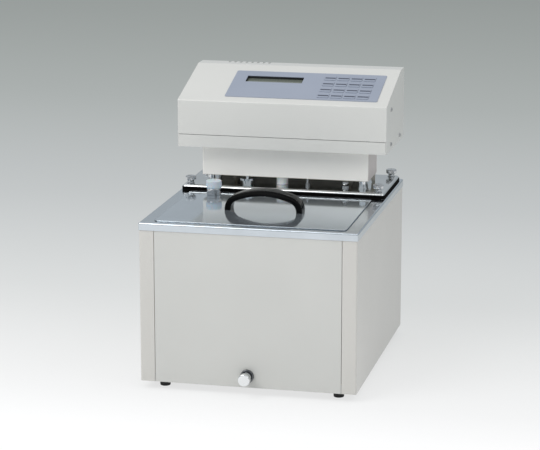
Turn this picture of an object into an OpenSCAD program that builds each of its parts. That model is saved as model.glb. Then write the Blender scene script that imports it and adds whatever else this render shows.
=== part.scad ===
// Bench-top thermostatic bath with a thermo-control head standing on a bridge over its tank.
// Drawn in the cabinet's own frame: x from the middle, y from the front face, z from the underside.
// The module on_bench() then stands it on its feet with the origin under the middle of its outline.

/* [Cabinet] */
// Width across the side panels
cab_w = 350; // [330:1:400]
// Depth from the front panel to the rear panel
cab_d = 420; // [410:1:470]
// Height of the painted cabinet below the deck
cab_h = 247; // [230:1:290]
// Thickness of the painted sheet steel
sheet_t = 1.2; // [0.8:0.1:1.6]
// Outside radius of the cabinet's upright bends
bend_r = 2.5; // [2:0.25:5]
// Width of the side panels' returns on the front and rear faces
return_w = 23.7; // [18:0.1:32]
// Gap at the seams between painted panels
seam_gap = 0.8; // [0.4:0.1:1.5]
// Depth of the turned-in flanges on the front and rear panels
panel_flange = 11; // [8:0.5:12]
// Height of the turned-up lips of the base pan
pan_lip = 14; // [10:0.5:20]

/* [Feet] */
// Height of the rubber feet
foot_h = 13; // [10:0.5:20]
// Radius of a foot where it meets the base pan
foot_r = 9.5; // [8:0.25:12]
// Distance of a foot's centre from the cabinet's side
foot_in_x = 33; // [20:0.5:45]
// Distance of a foot's centre from the cabinet's front or rear
foot_in_y = 28; // [20:0.5:45]

/* [Tank] */
// Thickness of the stainless sheet of the tank, deck, lid and bridge
steel_t = 1.2; // [1:0.1:1.5]
// Distance between the cabinet's sides and the tank's walls
tank_side = 39; // [37:0.5:50]
// Depth of the tank outside, front to rear
tank_d = 344; // [330:1:348]
// Clear height between the tank's floor and the cabinet's underside
tank_floor = 45; // [42:1:60]
// Radius of the tank's upright corners
tank_corner = 34; // [28:1:45]
// Radius between the tank's walls and its floor
tank_bottom_r = 18; // [10:1:24]
// Width of the flange round the tank's mouth
tank_flange = 10; // [8:0.5:12]

/* [Deck] */
// Height of the deck's turned-down edge
deck_h = 12; // [10:0.5:16]
// How far the deck stands out over the painted panels
deck_over = 1; // [0.6:0.1:2]
// Radius of the deck's top edge
deck_edge_r = 2.6; // [2:0.1:4]
// Distance of the deck's cross bar from the cabinet's front face
bar_y = 236; // [235:0.5:237]
// Width of the cross bar, front to rear
bar_d = 23; // [20:0.5:24]
// Depth of the cross bar's turned-down lips
bar_lip = 6; // [4:0.5:9]

/* [Lid] */
// Distance of the lid's side edges from the cabinet's sides
lid_side = 20.5; // [17.5:0.5:27.5]
// Distance of the lid's front edge from the cabinet's front face
lid_front = 13.5; // [6:0.5:16]
// Clearance between the lid's rear edge and the head's front, so that the lid lifts past it
lid_gap = 1; // [0.6:0.1:3]
// Thickness of the lid's panel
lid_t = 1.6; // [1.2:0.1:2.5]
// Radius of the lid's corners, seen from above
lid_corner = 8; // [4:0.5:14]
// Height of the drip rim under the lid
rim_h = 7; // [4:0.5:12]
// Distance between the drip rim and the tank's wall
rim_in = 4; // [3:0.5:8]

/* [Lid handle] */
// Width of the handle outside its legs
handle_w = 127.6; // [110:0.2:134]
// Height of the handle above the lid
handle_h = 34.5; // [34:0.5:45]
// Thickness of the handle's bow
handle_t = 10; // [8:0.25:12]
// Depth of the handle's bow, front to rear
handle_d = 26; // [20:0.5:32]
// Radius of the bow's shoulders, at the middle of its thickness
shoulder_r = 20; // [14:0.5:20.5]
// Distance of the handle's middle from the cabinet's front face
handle_y = 123; // [110:1:150]

/* [Thermometer port] */
// Distance of the port from the middle of the lid
port_x = 108.5; // [90:0.5:110]
// Distance of the port from the cabinet's front face
port_y = 219; // [200:1:222]
// Outside radius of the port's collar
collar_r = 12; // [10:0.25:14]
// Height of the collar above the lid
collar_h = 11.3; // [9:0.1:14]
// Radius of the collar's bore
port_bore_r = 7.5; // [6:0.25:8.5]
// Radius of the stopper's head
stopper_r = 13; // [11:0.25:14]
// Height of the stopper's head
stopper_h = 13; // [10:0.25:16]
// Length of the stopper's plug in the collar
plug_len = 12; // [8:0.5:14]
// Radial clearance of the stopper's plug
plug_play = 0.08; // [0.05:0.01:0.1]

/* [Bridge] */
// Distance of the bridge plate's ends from the deck's side edges
bridge_side = 4; // [3:0.5:8]
// Distance of the bridge's front edge from the cabinet's front face
bridge_y = 250; // [246:1:254]
// Depth of the bridge plate, front to rear
bridge_d = 155; // [152:1:160]
// Height of the bridge plate above the deck
bridge_h = 9.7; // [8:0.1:14]
// Radius of the bridge plate's rolled edge
bridge_edge_r = 5.2; // [3:0.1:5.6]
// Distance of the thumb screws from the bridge's ends
screw_side = 12; // [10:0.5:14]
// Distance of the thumb screws from the bridge's front and rear edges
screw_in = 14; // [12:0.5:16]

/* [Thumb screws] */
// Radius of the knurled head
thumb_r = 8.7; // [7:0.1:10]
// Height of the knurled head
thumb_h = 6.5; // [6:0.25:10]
// Radius of the collar under the head
thumb_collar_r = 5.3; // [4.5:0.1:6]
// Height of the collar under the head
thumb_collar_h = 5.75; // [4:0.25:8]
// Radius of the screw's shank
shank_r = 3; // [2.5:0.1:3.5]
// Gap between a turning head and its seat
seat_gap = 0.2; // [0.1:0.05:0.3]
// Radial clearance of turning shanks and shafts
run_play = 0.07; // [0.03:0.01:0.1]

/* [Neck] */
// Height of the open gap between the bridge and the neck
gap_h = 14.3; // [10:0.1:24]
// Width of the neck
neck_w = 283.4; // [270:0.2:290]
// Distance of the neck's front from the cabinet's front face
neck_y = 271.5; // [268:0.5:274]
// Depth of the neck, front to rear
neck_d = 80.5; // [78:0.5:100]
// Height of the neck up to the head
neck_h = 52; // [40:0.5:70]
// Radius of the posts that carry the neck
post_r = 5.8; // [4.5:0.1:7]
// Distance of the posts from the middle
post_x = 129; // [124:0.5:130]
// Distance of the posts from the neck's front and rear faces
post_in = 13.5; // [12:0.5:16]

/* [Control head] */
// Width of the head
head_w = 352; // [345:1:365]
// Distance of the head's front from the cabinet's front face
head_y = 243; // [238:1:246]
// Height of the head's lower pan
head_pan_h = 20.4; // [16:0.2:26]
// Height of the head's upright front, from its underside to the fold
head_front_h = 79; // [70:0.5:95]
// Length of the sloping face between its folds
slope_len = 141.5; // [134:0.5:150]
// Depth of the level top behind the slope
top_run = 35; // [30:0.5:50]
// Radius of the cover's folds
fold_r = 3; // [2:0.2:4]

/* [Vents] */
// Number of vent slots through the head's rear top edge
vent_n = 8; // [4:1:10]
// Pitch of the vent slots
vent_pitch = 10; // [8:0.5:12]
// Width of a vent slot
vent_w = 4.2; // [3:0.1:5]
// How far a vent slot runs down the rear face
vent_drop = 32; // [15:1:40]
// How far a vent slot runs forward over the level top
vent_reach = 14; // [6:1:22]
// Distance of the first slot from the middle, towards the left
vent_x = 126; // [110:1:134]

/* [Control panel] */
// Width of the panel's film
panel_w = 257; // [252:1:280]
// Length of the panel's film along the slope
panel_l = 100; // [98:1:106]
// Distance of the film's middle to the right of the middle of the head
panel_x = 28.5; // [24:0.5:34]
// Distance of the film's middle up the slope from the fold
panel_v = 67.5; // [65:0.5:76]
// Thickness of the film and its carrier
panel_t = 0.9; // [0.6:0.1:1.4]
// Radius of the film's corners
panel_corner = 3; // [1:0.5:6]

/* [Display] */
// Width of the display's window
lcd_w = 97; // [80:1:104]
// Length of the display's window along the slope
lcd_l = 23; // [16:0.5:28]
// Distance of the window's middle from the middle of the head
lcd_x = -29.4; // [-34:0.2:-26]
// Distance of the window's middle up the slope from the fold
lcd_v = 87.5; // [84:0.5:96]
// Depth of the window pane below the film
lcd_deep = 4; // [2:0.25:6]

/* [Keys] */
// Pitch of the keys
key_pitch = 22.3; // [21:0.1:23]
// Width of a key's cap
key_w = 19; // [15:0.25:19.5]
// Length of a key's cap along the slope
key_l = 15; // [12:0.25:19.5]
// How far a cap stands out of the film
key_proud = 0.7; // [0.6:0.1:1.5]
// Travel of a key
key_travel = 0.5; // [0.3:0.1:0.5]
// Gap round a key's cap
key_gap = 0.3; // [0.2:0.05:0.5]
// Distance of the key field's middle from the middle of the head
keys_x = 97.5; // [94:0.5:102]
// Distance of the key field's middle up the slope from the fold
keys_v = 65.6; // [64.6:0.2:70]

/* [Pump] */
// Distance of the pump's shaft to the left of the middle
shaft_x = 8; // [0:0.5:14]
// Distance of the pump's shaft behind the neck's front
shaft_in = 18.5; // [17:0.5:24]
// Radius of the pump's shaft
shaft_r = 4; // [3:0.1:5]
// Radius of the white shaft coupling
coupling_r = 9.8; // [8:0.1:11]
// Radius of the motor
motor_r = 32; // [26:0.5:36]
// Height of the motor's case
motor_h = 66; // [50:1:70]
// Radius of the pump's housing
pump_r = 27; // [25:0.5:30]
// Height of the pump's housing
pump_h = 45; // [35:1:60]
// Clear height of the pump's housing above the tank's floor
pump_clear = 20; // [12:1:40]
// Number of blades on the impeller
blade_n = 4; // [3:1:6]
// Radius over the impeller's blades
blade_r = 22.5; // [16:0.5:23]

/* [Heater] */
// Radius of the heater's tube
heater_r = 4; // [3:0.1:5]
// Number of upright legs of the heater, an even number
heater_legs = 8; // [4:2:8]
// Pitch of the heater's legs
heater_pitch = 28; // [22:0.5:28]
// Length of the heater's upright legs between its bends
heater_leg = 100; // [60:1:110]
// Clear height of the heater above the tank's floor
heater_clear = 16; // [12:1:30]
// Distance of the heater's plane in front of the neck's rear face
heater_in = 14; // [12:0.5:16]

/* [Probes] */
// Radius of the temperature probe
probe_r = 2; // [1.5:0.1:2.5]
// Distance of the temperature probe to the right of the middle
probe_x = 36; // [30:1:50]
// Radius of the overheat probe
guard_r = 3.2; // [2.5:0.1:4]
// Distance of the overheat probe to the left of the middle
guard_x = 67; // [60:1:72]
// Radius of the level probe
level_r = 3.2; // [2.5:0.1:4]
// Distance of the level probe to the right of the middle
level_x = 100; // [90:1:108]
// Length of the probes below the bridge
probe_len = 150; // [90:1:170]

/* [Drain] */
// Height of the drain outlet above the cabinet's underside
drain_z = 19; // [16:0.5:21]
// Outside radius of the drain pipe
drain_r = 6.5; // [5:0.1:7]
// Wall of the drain pipe
drain_wall = 1.5; // [1:0.1:2]
// Distance of the drain's well behind the tank's front wall
drain_in = 32; // [29:1:52]
// Radius of the ring nut on the front panel
ring_r = 10.8; // [9:0.1:13]
// Thickness of the ring nut
ring_t = 5; // [3:0.25:7]
// Radius of the drain's cap
cap_r = 9.9; // [9:0.1:12]
// Length of the drain's cap
cap_len = 17; // [12:0.5:20]

/* [Mains inlet] */
// Width of the inlet and switch module on the rear of the head
inlet_w = 30; // [28:0.5:34]
// Height of the inlet and switch module
inlet_h = 58; // [54:0.5:62]
// Distance of the module to the right of the middle
inlet_x = 108; // [90:1:130]
// Distance of the module's middle above the head's underside
inlet_z = 66; // [60:1:70]
// Angle that the switch's rocker turns through
rocker_a = 16; // [10:1:18]

/* [Hidden] */
// Rows and columns of keys, each key being a node of its own
key_n = 4;
key_ids = [for (r = [1:4], c = [1:4]) str("key_r", r, "c", c)];

$fn = 64;
eps = 0.01;

// Colours, as the finishes look in daylight
paint = [0.80, 0.80, 0.77];
paint_side = [0.76, 0.75, 0.72];
bright_steel = [0.72, 0.75, 0.78];
dull_steel = [0.62, 0.63, 0.64];
black_plastic = [0.05, 0.05, 0.06];
blue_film = [0.62, 0.65, 0.72];
white_ptfe = [0.90, 0.92, 0.92];

// Heights of the decks and of the head above the cabinet's underside
deck_z = cab_h + deck_h;
lid_z = deck_z + lid_t;
bridge_top = deck_z + bridge_h;
neck_z = bridge_top + gap_h;
head_z = neck_z + neck_h;
fold_z = head_z + head_front_h;

// Widths that follow the cabinet
deck_w = cab_w + 2 * deck_over;
tank_w = cab_w - 2 * tank_side;
lid_w = cab_w - 2 * lid_side;
bridge_w = deck_w - 2 * bridge_side;
screw_x = bridge_w / 2 - screw_side;

// Depths
slope_run = 0.96 * slope_len;
slope_rise = 0.28 * slope_len + 0.25 * fold_r;
head_d = slope_run + top_run;
slope_a = atan2(7, 24);
tank_y = (cab_d - tank_d) / 2;
drain_y = tank_y + drain_in;
lid_d = head_y - lid_gap - lid_front;
cap_reach = ring_t + cap_len + 4;
mid_y = (cab_d + deck_over - cap_reach) / 2;

// The pump's axis and the heater's plane
axis_x = -shaft_x;
axis_y = neck_y + shaft_in;
heater_y = neck_y + neck_d - heater_in;
probe_y = axis_y - 4;
tank_bottom = tank_floor + steel_t;
pump_z = tank_bottom + pump_clear;

// The rocker's size and the height of its pins against the module's face
rocker_w = 19;
rocker_l = 21;
rocker_pin_z = -4.5;

// Common screws
pan_head_r = 3.6;
pan_head_h = 2;
small_shank_r = 2;

module on_bench() {
    translate([0, -mid_y, foot_h]) children();
}

// Stands a child on the sloping face: x to the right, y up the slope, z out of the face
module on_slope(u, v) {
    translate([u, head_y, fold_z])
        rotate([slope_a, 0, 0])
            translate([0, v, 0])
                children();
}

// Rectangle with round corners, about its middle
module round_rect(w, d, r) {
    union() {
        square([w - 2 * r, d], center = true);
        square([w, d - 2 * r], center = true);
        for (x = [-1, 1], y = [-1, 1])
            translate([x * (w / 2 - r), y * (d / 2 - r)]) circle(r = r);
    }
}

// Block whose top edges and upright edges are all round with one radius
module rolled_block(w, d, h, r) {
    linear_extrude(h - r) round_rect(w, d, r);
    translate([0, 0, h - r - eps])
        linear_extrude(r + eps) square([w - 2 * r, d - 2 * r], center = true);
    for (x = [-1, 1]) {
        translate([x * (w / 2 - r), -(d / 2 - r), h - r])
            rotate([-90, 0, 0]) cylinder(r = r, h = d - 2 * r);
        for (y = [-1, 1])
            translate([x * (w / 2 - r), y * (d / 2 - r), h - r]) sphere(r = r);
    }
    for (y = [-1, 1])
        translate([-(w / 2 - r), y * (d / 2 - r), h - r])
            rotate([0, 90, 0]) cylinder(r = r, h = w - 2 * r);
}

// Drawn tub: upright corners of one radius, a smaller one between walls and floor
module tub(w, d, h, corner, bottom) {
    translate([0, 0, bottom]) linear_extrude(h - bottom) round_rect(w, d, corner);
    linear_extrude(bottom + eps) round_rect(w - 2 * bottom, d - 2 * bottom, corner - bottom);
    for (x = [-1, 1])
        translate([x * (w / 2 - bottom), -(d / 2 - corner), bottom])
            rotate([-90, 0, 0]) cylinder(r = bottom, h = d - 2 * corner);
    for (y = [-1, 1])
        translate([-(w / 2 - corner), y * (d / 2 - bottom), bottom])
            rotate([0, 90, 0]) cylinder(r = bottom, h = w - 2 * corner);
    for (x = [-1, 1], y = [-1, 1])
        translate([x * (w / 2 - corner), y * (d / 2 - corner), bottom])
            rotate_extrude() intersection() {
                translate([corner - bottom, 0]) circle(r = bottom);
                translate([0, -bottom]) square([corner, 2 * bottom]);
            }
}

// Pan-head screw along +Z, its head's underside at z = 0 and its shank below
module pan_screw(shank) {
    cylinder(r1 = pan_head_r, r2 = pan_head_r * 0.8, h = pan_head_h);
    translate([0, 0, -shank]) cylinder(r = small_shank_r, h = shank + eps);
}

module at_feet() {
    for (x = [-1, 1], y = [foot_in_y, cab_d - foot_in_y])
        translate([x * (cab_w / 2 - foot_in_x), y, 0]) children();
}

module at_thumb_screws() {
    for (x = [-1, 1], y = [bridge_y + screw_in, bridge_y + bridge_d - screw_in])
        translate([x * screw_x, y, 0]) children();
}

module at_posts() {
    for (x = [-1, 1], y = [neck_y + post_in, neck_y + neck_d - post_in])
        translate([x * post_x, y, 0]) children();
}

// One wall of bent sheet round the cabinet's plan
module cabinet_wall() {
    translate([0, cab_d / 2]) difference() {
        round_rect(cab_w, cab_d, bend_r);
        round_rect(cab_w - 2 * sheet_t, cab_d - 2 * sheet_t, bend_r - sheet_t);
    }
}

module side_panel(side) {
    color(paint_side) on_bench() linear_extrude(cab_h) intersection() {
        cabinet_wall();
        translate([side * (cab_w / 2 - return_w / 2 + 1), cab_d / 2])
            square([return_w + 2, cab_d + 2], center = true);
    }
}

module side_panel_left() {
    side_panel(-1);
}

module side_panel_right() {
    side_panel(1);
}

// Flat panel between the returns, with turned-in flanges down both sides
module end_panel() {
    half = cab_w / 2 - return_w - seam_gap;
    translate([-half, 0, 0]) cube([2 * half, sheet_t, cab_h]);
    for (x = [-1, 1])
        translate([x * (half - sheet_t / 2) - sheet_t / 2, 0, pan_lip + 2])
            cube([sheet_t, panel_flange, cab_h - pan_lip - 14]);
}

module front_panel() {
    color(paint) on_bench() difference() {
        end_panel();
        translate([0, -1, drain_z]) rotate([-90, 0, 0]) cylinder(r = drain_r + 0.5, h = sheet_t + 2);
    }
}

module rear_panel() {
    color(paint) on_bench() translate([0, cab_d, 0]) mirror([0, 1, 0]) end_panel();
}

module base_pan() {
    fit = sheet_t + 0.3;
    w = cab_w - 2 * fit;
    d = cab_d - 2 * fit;
    color(dull_steel) on_bench() difference() {
        translate([0, cab_d / 2, 0]) linear_extrude(pan_lip) round_rect(w, d, bend_r);
        translate([0, cab_d / 2, sheet_t])
            linear_extrude(pan_lip) round_rect(w - 2 * sheet_t, d - 2 * sheet_t, bend_r - sheet_t);
        at_feet() translate([0, 0, -1]) cylinder(r = small_shank_r + 0.2, h = sheet_t + 2);
        // Notch for the drain pipe in the front lip
        translate([-drain_r - 1, 0, drain_z - drain_r - 1])
            cube([2 * drain_r + 2, 3 * sheet_t, pan_lip]);
    }
}

module feet() {
    recess_r = pan_head_r + 0.6;
    recess_h = foot_h * 0.45;
    color(black_plastic) on_bench() at_feet() translate([0, 0, -foot_h]) difference() {
        union() {
            cylinder(r1 = foot_r - 1.2, r2 = foot_r, h = foot_h - 3);
            translate([0, 0, foot_h - 3]) cylinder(r = foot_r, h = 3);
        }
        translate([0, 0, -1]) cylinder(r = recess_r, h = recess_h + 1);
        translate([0, 0, -1]) cylinder(r = small_shank_r + 0.1, h = foot_h + 2);
    }
}

module foot_screws() {
    recess_h = foot_h * 0.45;
    color(dull_steel) on_bench() at_feet() {
        translate([0, 0, recess_h - foot_h]) mirror([0, 0, 1])
            pan_screw(foot_h - recess_h + sheet_t + 5);
        // Nut on the base pan
        translate([0, 0, sheet_t]) cylinder(r = 3.8, h = 3, $fn = 6);
    }
}

module tank_shape(grow) {
    translate([0, tank_y + tank_d / 2, tank_floor - grow])
        tub(tank_w + 2 * grow, tank_d + 2 * grow, deck_z - tank_floor, tank_corner + grow,
            tank_bottom_r + grow);
}

module tank_mouth(grow) {
    translate([0, tank_y + tank_d / 2])
        round_rect(tank_w + 2 * grow, tank_d + 2 * grow, tank_corner + grow);
}

module bath_tank() {
    rim_z = deck_z - 2 * steel_t;
    color(bright_steel) on_bench() difference() {
        union() {
            intersection() {
                tank_shape(0);
                translate([-cab_w / 2, 0, 0]) cube([cab_w, cab_d, rim_z + steel_t]);
            }
            translate([0, 0, rim_z]) linear_extrude(steel_t) tank_mouth(tank_flange);
        }
        translate([0, tank_y + tank_d / 2, tank_bottom])
            tub(tank_w - 2 * steel_t, tank_d - 2 * steel_t, deck_z, tank_corner - steel_t,
                tank_bottom_r - steel_t);
        translate([0, drain_y, tank_floor - 1]) cylinder(r = drain_r - drain_wall, h = steel_t + 2);
    }
}

module tank_insulation() {
    side_room = 14;
    top_room = 12;
    well = drain_r + 2;
    color([0.88, 0.84, 0.62]) on_bench() difference() {
        translate([0, cab_d / 2, sheet_t + 0.3])
            linear_extrude(deck_z - top_room - sheet_t - 0.3)
                round_rect(cab_w - 2 * side_room, cab_d - 2 * side_room, 4);
        tank_shape(0.4);
        // Room for the drain pipe, open towards the front and below
        translate([-well, 0, 0]) cube([2 * well, drain_y + well, tank_floor]);
        at_feet() translate([0, 0, 0]) cylinder(r = 5, h = sheet_t + 8);
    }
}

module deck_plate() {
    w = deck_w;
    d = cab_d + 2 * deck_over;
    nut_r = shank_r + 3.2;
    color(bright_steel) on_bench() difference() {
        union() {
            difference() {
                translate([0, cab_d / 2, cab_h]) rolled_block(w, d, deck_h, deck_edge_r);
                translate([0, cab_d / 2, cab_h - 1])
                    rolled_block(w - 2 * steel_t, d - 2 * steel_t, deck_h + 1 - steel_t,
                        deck_edge_r - steel_t);
            }
            // Weld nuts for the thumb screws
            at_thumb_screws() translate([0, 0, deck_z - steel_t - 5])
                cylinder(r = nut_r, h = 5 + eps, $fn = 6);
            // Turned-down lips of the cross bar
            for (y = [bar_y, bar_y + bar_d - steel_t])
                translate([-tank_w / 2 + steel_t + 0.3, y, deck_z - bar_lip])
                    cube([tank_w - 2 * steel_t - 0.6, steel_t, bar_lip - eps]);
        }
        translate([0, 0, cab_h - 1]) linear_extrude(deck_h + 2) difference() {
            tank_mouth(-steel_t);
            translate([-tank_w, bar_y]) square([2 * tank_w, bar_d]);
        }
        at_thumb_screws() translate([0, 0, cab_h - 1]) cylinder(r = shank_r + run_play, h = deck_h + 2);
    }
}

// The drain pipe: a socket on the tank's floor, an elbow and a spout through the front panel
module pipe_run(r) {
    bend = 14;
    translate([0, drain_y, drain_z + bend]) cylinder(r = r, h = tank_floor - drain_z - bend);
    translate([0, drain_y - bend, drain_z + bend])
        rotate([90, 0, 90]) rotate_extrude(angle = -90) translate([bend, 0]) circle(r = r);
    translate([0, drain_y - bend + eps, drain_z]) rotate([90, 0, 0])
        cylinder(r = r, h = drain_y - bend + ring_t + cap_len);
}

module drain_pipe() {
    color(bright_steel) on_bench() difference() {
        union() {
            pipe_run(drain_r);
            translate([0, drain_y, tank_floor - 5]) cylinder(r = drain_r + 1.5, h = 5);
        }
        pipe_run(drain_r - drain_wall);
        translate([0, -ring_t - cap_len - 1, drain_z]) rotate([-90, 0, 0])
            cylinder(r = drain_r - drain_wall, h = 10);
    }
}

module drain_ring() {
    bevel = 1;
    color(bright_steel) on_bench() translate([0, 0, drain_z]) rotate([90, 0, 0]) difference() {
        union() {
            cylinder(r = ring_r, h = ring_t - bevel);
            translate([0, 0, ring_t - bevel]) cylinder(r1 = ring_r, r2 = ring_r - bevel, h = bevel);
        }
        translate([0, 0, -1]) cylinder(r = drain_r + 0.05, h = ring_t + 2);
    }
}

module drain_cap() {
    gap = 4;
    bevel = 1.2;
    color(white_ptfe) on_bench() translate([0, -ring_t - gap, drain_z]) rotate([90, 0, 0]) difference() {
        union() {
            cylinder(r = cap_r - 1.6, h = cap_len * 0.45);
            translate([0, 0, cap_len * 0.45]) cylinder(r = cap_r, h = cap_len * 0.55 - bevel);
            translate([0, 0, cap_len - bevel]) cylinder(r1 = cap_r, r2 = cap_r - bevel, h = bevel);
        }
        translate([0, 0, -1]) cylinder(r = drain_r + run_play, h = cap_len - gap + 1.3);
    }
}

module lid_panel() {
    rim_w = tank_w - 2 * steel_t - 2 * rim_in;
    rim_front = tank_y + steel_t + rim_in;
    rim_rear = bar_y - 3;
    rim_d = rim_rear - rim_front;
    rim_r = tank_corner - rim_in;
    color(bright_steel) on_bench() difference() {
        union() {
            translate([0, lid_front + lid_d / 2, deck_z]) linear_extrude(lid_t)
                round_rect(lid_w, lid_d, lid_corner);
            translate([0, rim_front + rim_d / 2, deck_z - rim_h]) linear_extrude(rim_h + eps)
                difference() {
                    round_rect(rim_w, rim_d, rim_r);
                    round_rect(rim_w - 2 * steel_t, rim_d - 2 * steel_t, rim_r - steel_t);
                }
        }
        translate([-port_x, port_y, deck_z - 1]) cylinder(r = port_bore_r + 2.1, h = lid_t + 2);
        at_handle_legs() translate([0, 0, deck_z - 1]) cylinder(r = small_shank_r + 0.1, h = lid_t + 2);
    }
}

module at_handle_legs() {
    for (x = [-1, 1]) translate([x * (handle_w - handle_t) / 2, handle_y, 0]) children();
}

// Upright outline of the bow: short legs, round shoulders and a shallow crown, all tangent.
// The shoulders end on lines that rise 12 for every 5 across, the sides of a right triangle.
module bow_outline() {
    half = (handle_w - handle_t) / 2;
    rise = handle_h - handle_t / 2;
    crown_r = shoulder_r + 2.6 * (half - shoulder_r);
    leg = rise - crown_r + 2.4 * (half - shoulder_r);
    translate([0, rise - crown_r]) difference() {
        intersection() {
            circle(r = crown_r + handle_t / 2);
            polygon([[0, 0], [100, 240], [-100, 240]]);
        }
        circle(r = crown_r - handle_t / 2);
    }
    for (side = [0, 1]) mirror([side, 0]) {
        translate([half - shoulder_r, leg]) difference() {
            intersection() {
                circle(r = shoulder_r + handle_t / 2);
                polygon([[0, 0], [100, 0], [100, 240]]);
            }
            circle(r = shoulder_r - handle_t / 2);
        }
        translate([half - handle_t / 2, 0]) square([handle_t, leg]);
    }
}

module lid_handle() {
    color(black_plastic) on_bench() translate([0, handle_y, lid_z]) difference() {
        rotate([90, 0, 0]) linear_extrude(handle_d, center = true) bow_outline();
        for (x = [-1, 1]) translate([x * (handle_w - handle_t) / 2, 0, -1])
            cylinder(r = small_shank_r + 0.1, h = 8);
    }
}

module handle_screws() {
    color(dull_steel) on_bench() at_handle_legs()
        translate([0, 0, deck_z]) mirror([0, 0, 1]) pan_screw(lid_t + 6);
}

module port_collar() {
    spigot = 5;
    bevel = 0.8;
    color(bright_steel) on_bench() translate([-port_x, port_y, lid_z]) difference() {
        union() {
            cylinder(r = collar_r, h = collar_h - bevel);
            translate([0, 0, collar_h - bevel]) cylinder(r1 = collar_r, r2 = collar_r - bevel, h = bevel);
            translate([0, 0, -spigot]) cylinder(r = port_bore_r + 2, h = spigot + eps);
            translate([0, 0, -spigot]) cylinder(r = port_bore_r + 3, h = spigot - lid_t, $fn = 6);
        }
        translate([0, 0, -spigot - 1]) cylinder(r = port_bore_r, h = collar_h + spigot + 2);
    }
}

module port_stopper() {
    bevel = 1.5;
    color([0.80, 0.86, 0.92]) on_bench() translate([-port_x, port_y, lid_z + collar_h + seat_gap]) {
        cylinder(r = stopper_r - 0.6, h = 2);
        translate([0, 0, 2 - eps]) cylinder(r = stopper_r, h = stopper_h - 2 - bevel + eps);
        translate([0, 0, stopper_h - bevel]) cylinder(r1 = stopper_r, r2 = stopper_r - bevel, h = bevel);
        translate([0, 0, -plug_len]) cylinder(r = port_bore_r - plug_play, h = plug_len + eps);
    }
}

module bridge_plate() {
    room = 0.35;
    color(bright_steel) on_bench() difference() {
        translate([0, bridge_y + bridge_d / 2, deck_z])
            rolled_block(bridge_w, bridge_d, bridge_h, bridge_edge_r);
        translate([0, bridge_y + bridge_d / 2, deck_z - 1])
            rolled_block(bridge_w - 2 * steel_t, bridge_d - 2 * steel_t, bridge_h + 1 - steel_t,
                bridge_edge_r - steel_t);
        at_thumb_screws() translate([0, 0, deck_z]) cylinder(r = shank_r + 0.5, h = bridge_h + 1);
        translate([axis_x, axis_y, deck_z]) cylinder(r = shaft_r + 2, h = bridge_h + 1);
        at_heater_ends() translate([0, 0, deck_z]) cylinder(r = heater_r + room, h = bridge_h + 1);
        translate([probe_x, probe_y, deck_z]) cylinder(r = probe_r + room, h = bridge_h + 1);
        translate([-guard_x, probe_y, deck_z]) cylinder(r = guard_r + room, h = bridge_h + 1);
        translate([level_x, probe_y, deck_z]) cylinder(r = level_r + room, h = bridge_h + 1);
    }
}

// Knurled head on a tapered collar, with a shank down to the weld nut
module thumb_screw(x, y) {
    taper = 2.5;
    bevel = 0.8;
    shank = bridge_h + steel_t + 6;
    py = y < 0 ? bridge_y + screw_in : bridge_y + bridge_d - screw_in;
    color(bright_steel) on_bench() translate([x * screw_x, py, bridge_top + seat_gap]) {
        cylinder(r = thumb_collar_r + 1.2, h = 1);
        translate([0, 0, 1 - eps]) cylinder(r = thumb_collar_r, h = thumb_collar_h - taper - 1 + 2 * eps);
        translate([0, 0, thumb_collar_h - taper])
            cylinder(r1 = thumb_collar_r, r2 = thumb_r - 0.6, h = taper);
        translate([0, 0, thumb_collar_h]) cylinder(r = thumb_r, h = thumb_h - bevel);
        translate([0, 0, thumb_collar_h + thumb_h - bevel])
            cylinder(r1 = thumb_r, r2 = thumb_r - bevel, h = bevel);
        translate([0, 0, -shank]) cylinder(r = shank_r, h = shank + eps);
    }
}

module thumb_screw_front_left() {
    thumb_screw(-1, -1);
}

module thumb_screw_front_right() {
    thumb_screw(1, -1);
}

module thumb_screw_rear_left() {
    thumb_screw(-1, 1);
}

module thumb_screw_rear_right() {
    thumb_screw(1, 1);
}

module support_posts() {
    color(bright_steel) on_bench() at_posts() translate([0, 0, bridge_top]) {
        cylinder(r = post_r, h = gap_h);
        cylinder(r = post_r + 1.4, h = 2);
    }
}

module at_heater_ends() {
    span = (heater_legs - 1) * heater_pitch / 2;
    for (x = [-1, 1]) translate([x * span, heater_y, 0]) children();
}

module neck_shroud() {
    room = 0.8;
    color(paint) on_bench() difference() {
        union() {
            translate([0, neck_y + neck_d / 2, neck_z]) linear_extrude(neck_h)
                round_rect(neck_w, neck_d, bend_r);
            // Apron of the rear wall, down to the bridge
            translate([bend_r - neck_w / 2, neck_y + neck_d - sheet_t, bridge_top])
                cube([neck_w - 2 * bend_r, sheet_t, gap_h + neck_h / 2]);
        }
        translate([0, neck_y + neck_d / 2, neck_z + sheet_t]) linear_extrude(neck_h)
            round_rect(neck_w - 2 * sheet_t, neck_d - 2 * sheet_t, bend_r - sheet_t);
        translate([axis_x, axis_y, neck_z - 1]) cylinder(r = coupling_r + room, h = sheet_t + 2);
        at_heater_ends() translate([0, 0, neck_z - 1]) cylinder(r = heater_r + room, h = sheet_t + 2);
        translate([probe_x, probe_y, neck_z - 1]) cylinder(r = probe_r + room, h = sheet_t + 2);
        translate([-guard_x, probe_y, neck_z - 1]) cylinder(r = guard_r + room, h = sheet_t + 2);
        translate([level_x, probe_y, neck_z - 1]) cylinder(r = level_r + room, h = sheet_t + 2);
    }
}

module at_side_screws() {
    low = [for (y = [44, head_d - 42]) [y, 10]];
    for (p = concat(low, [[44, head_front_h - 11]]))
        translate([0, head_y + p[0], head_z + p[1]]) children();
}

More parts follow.
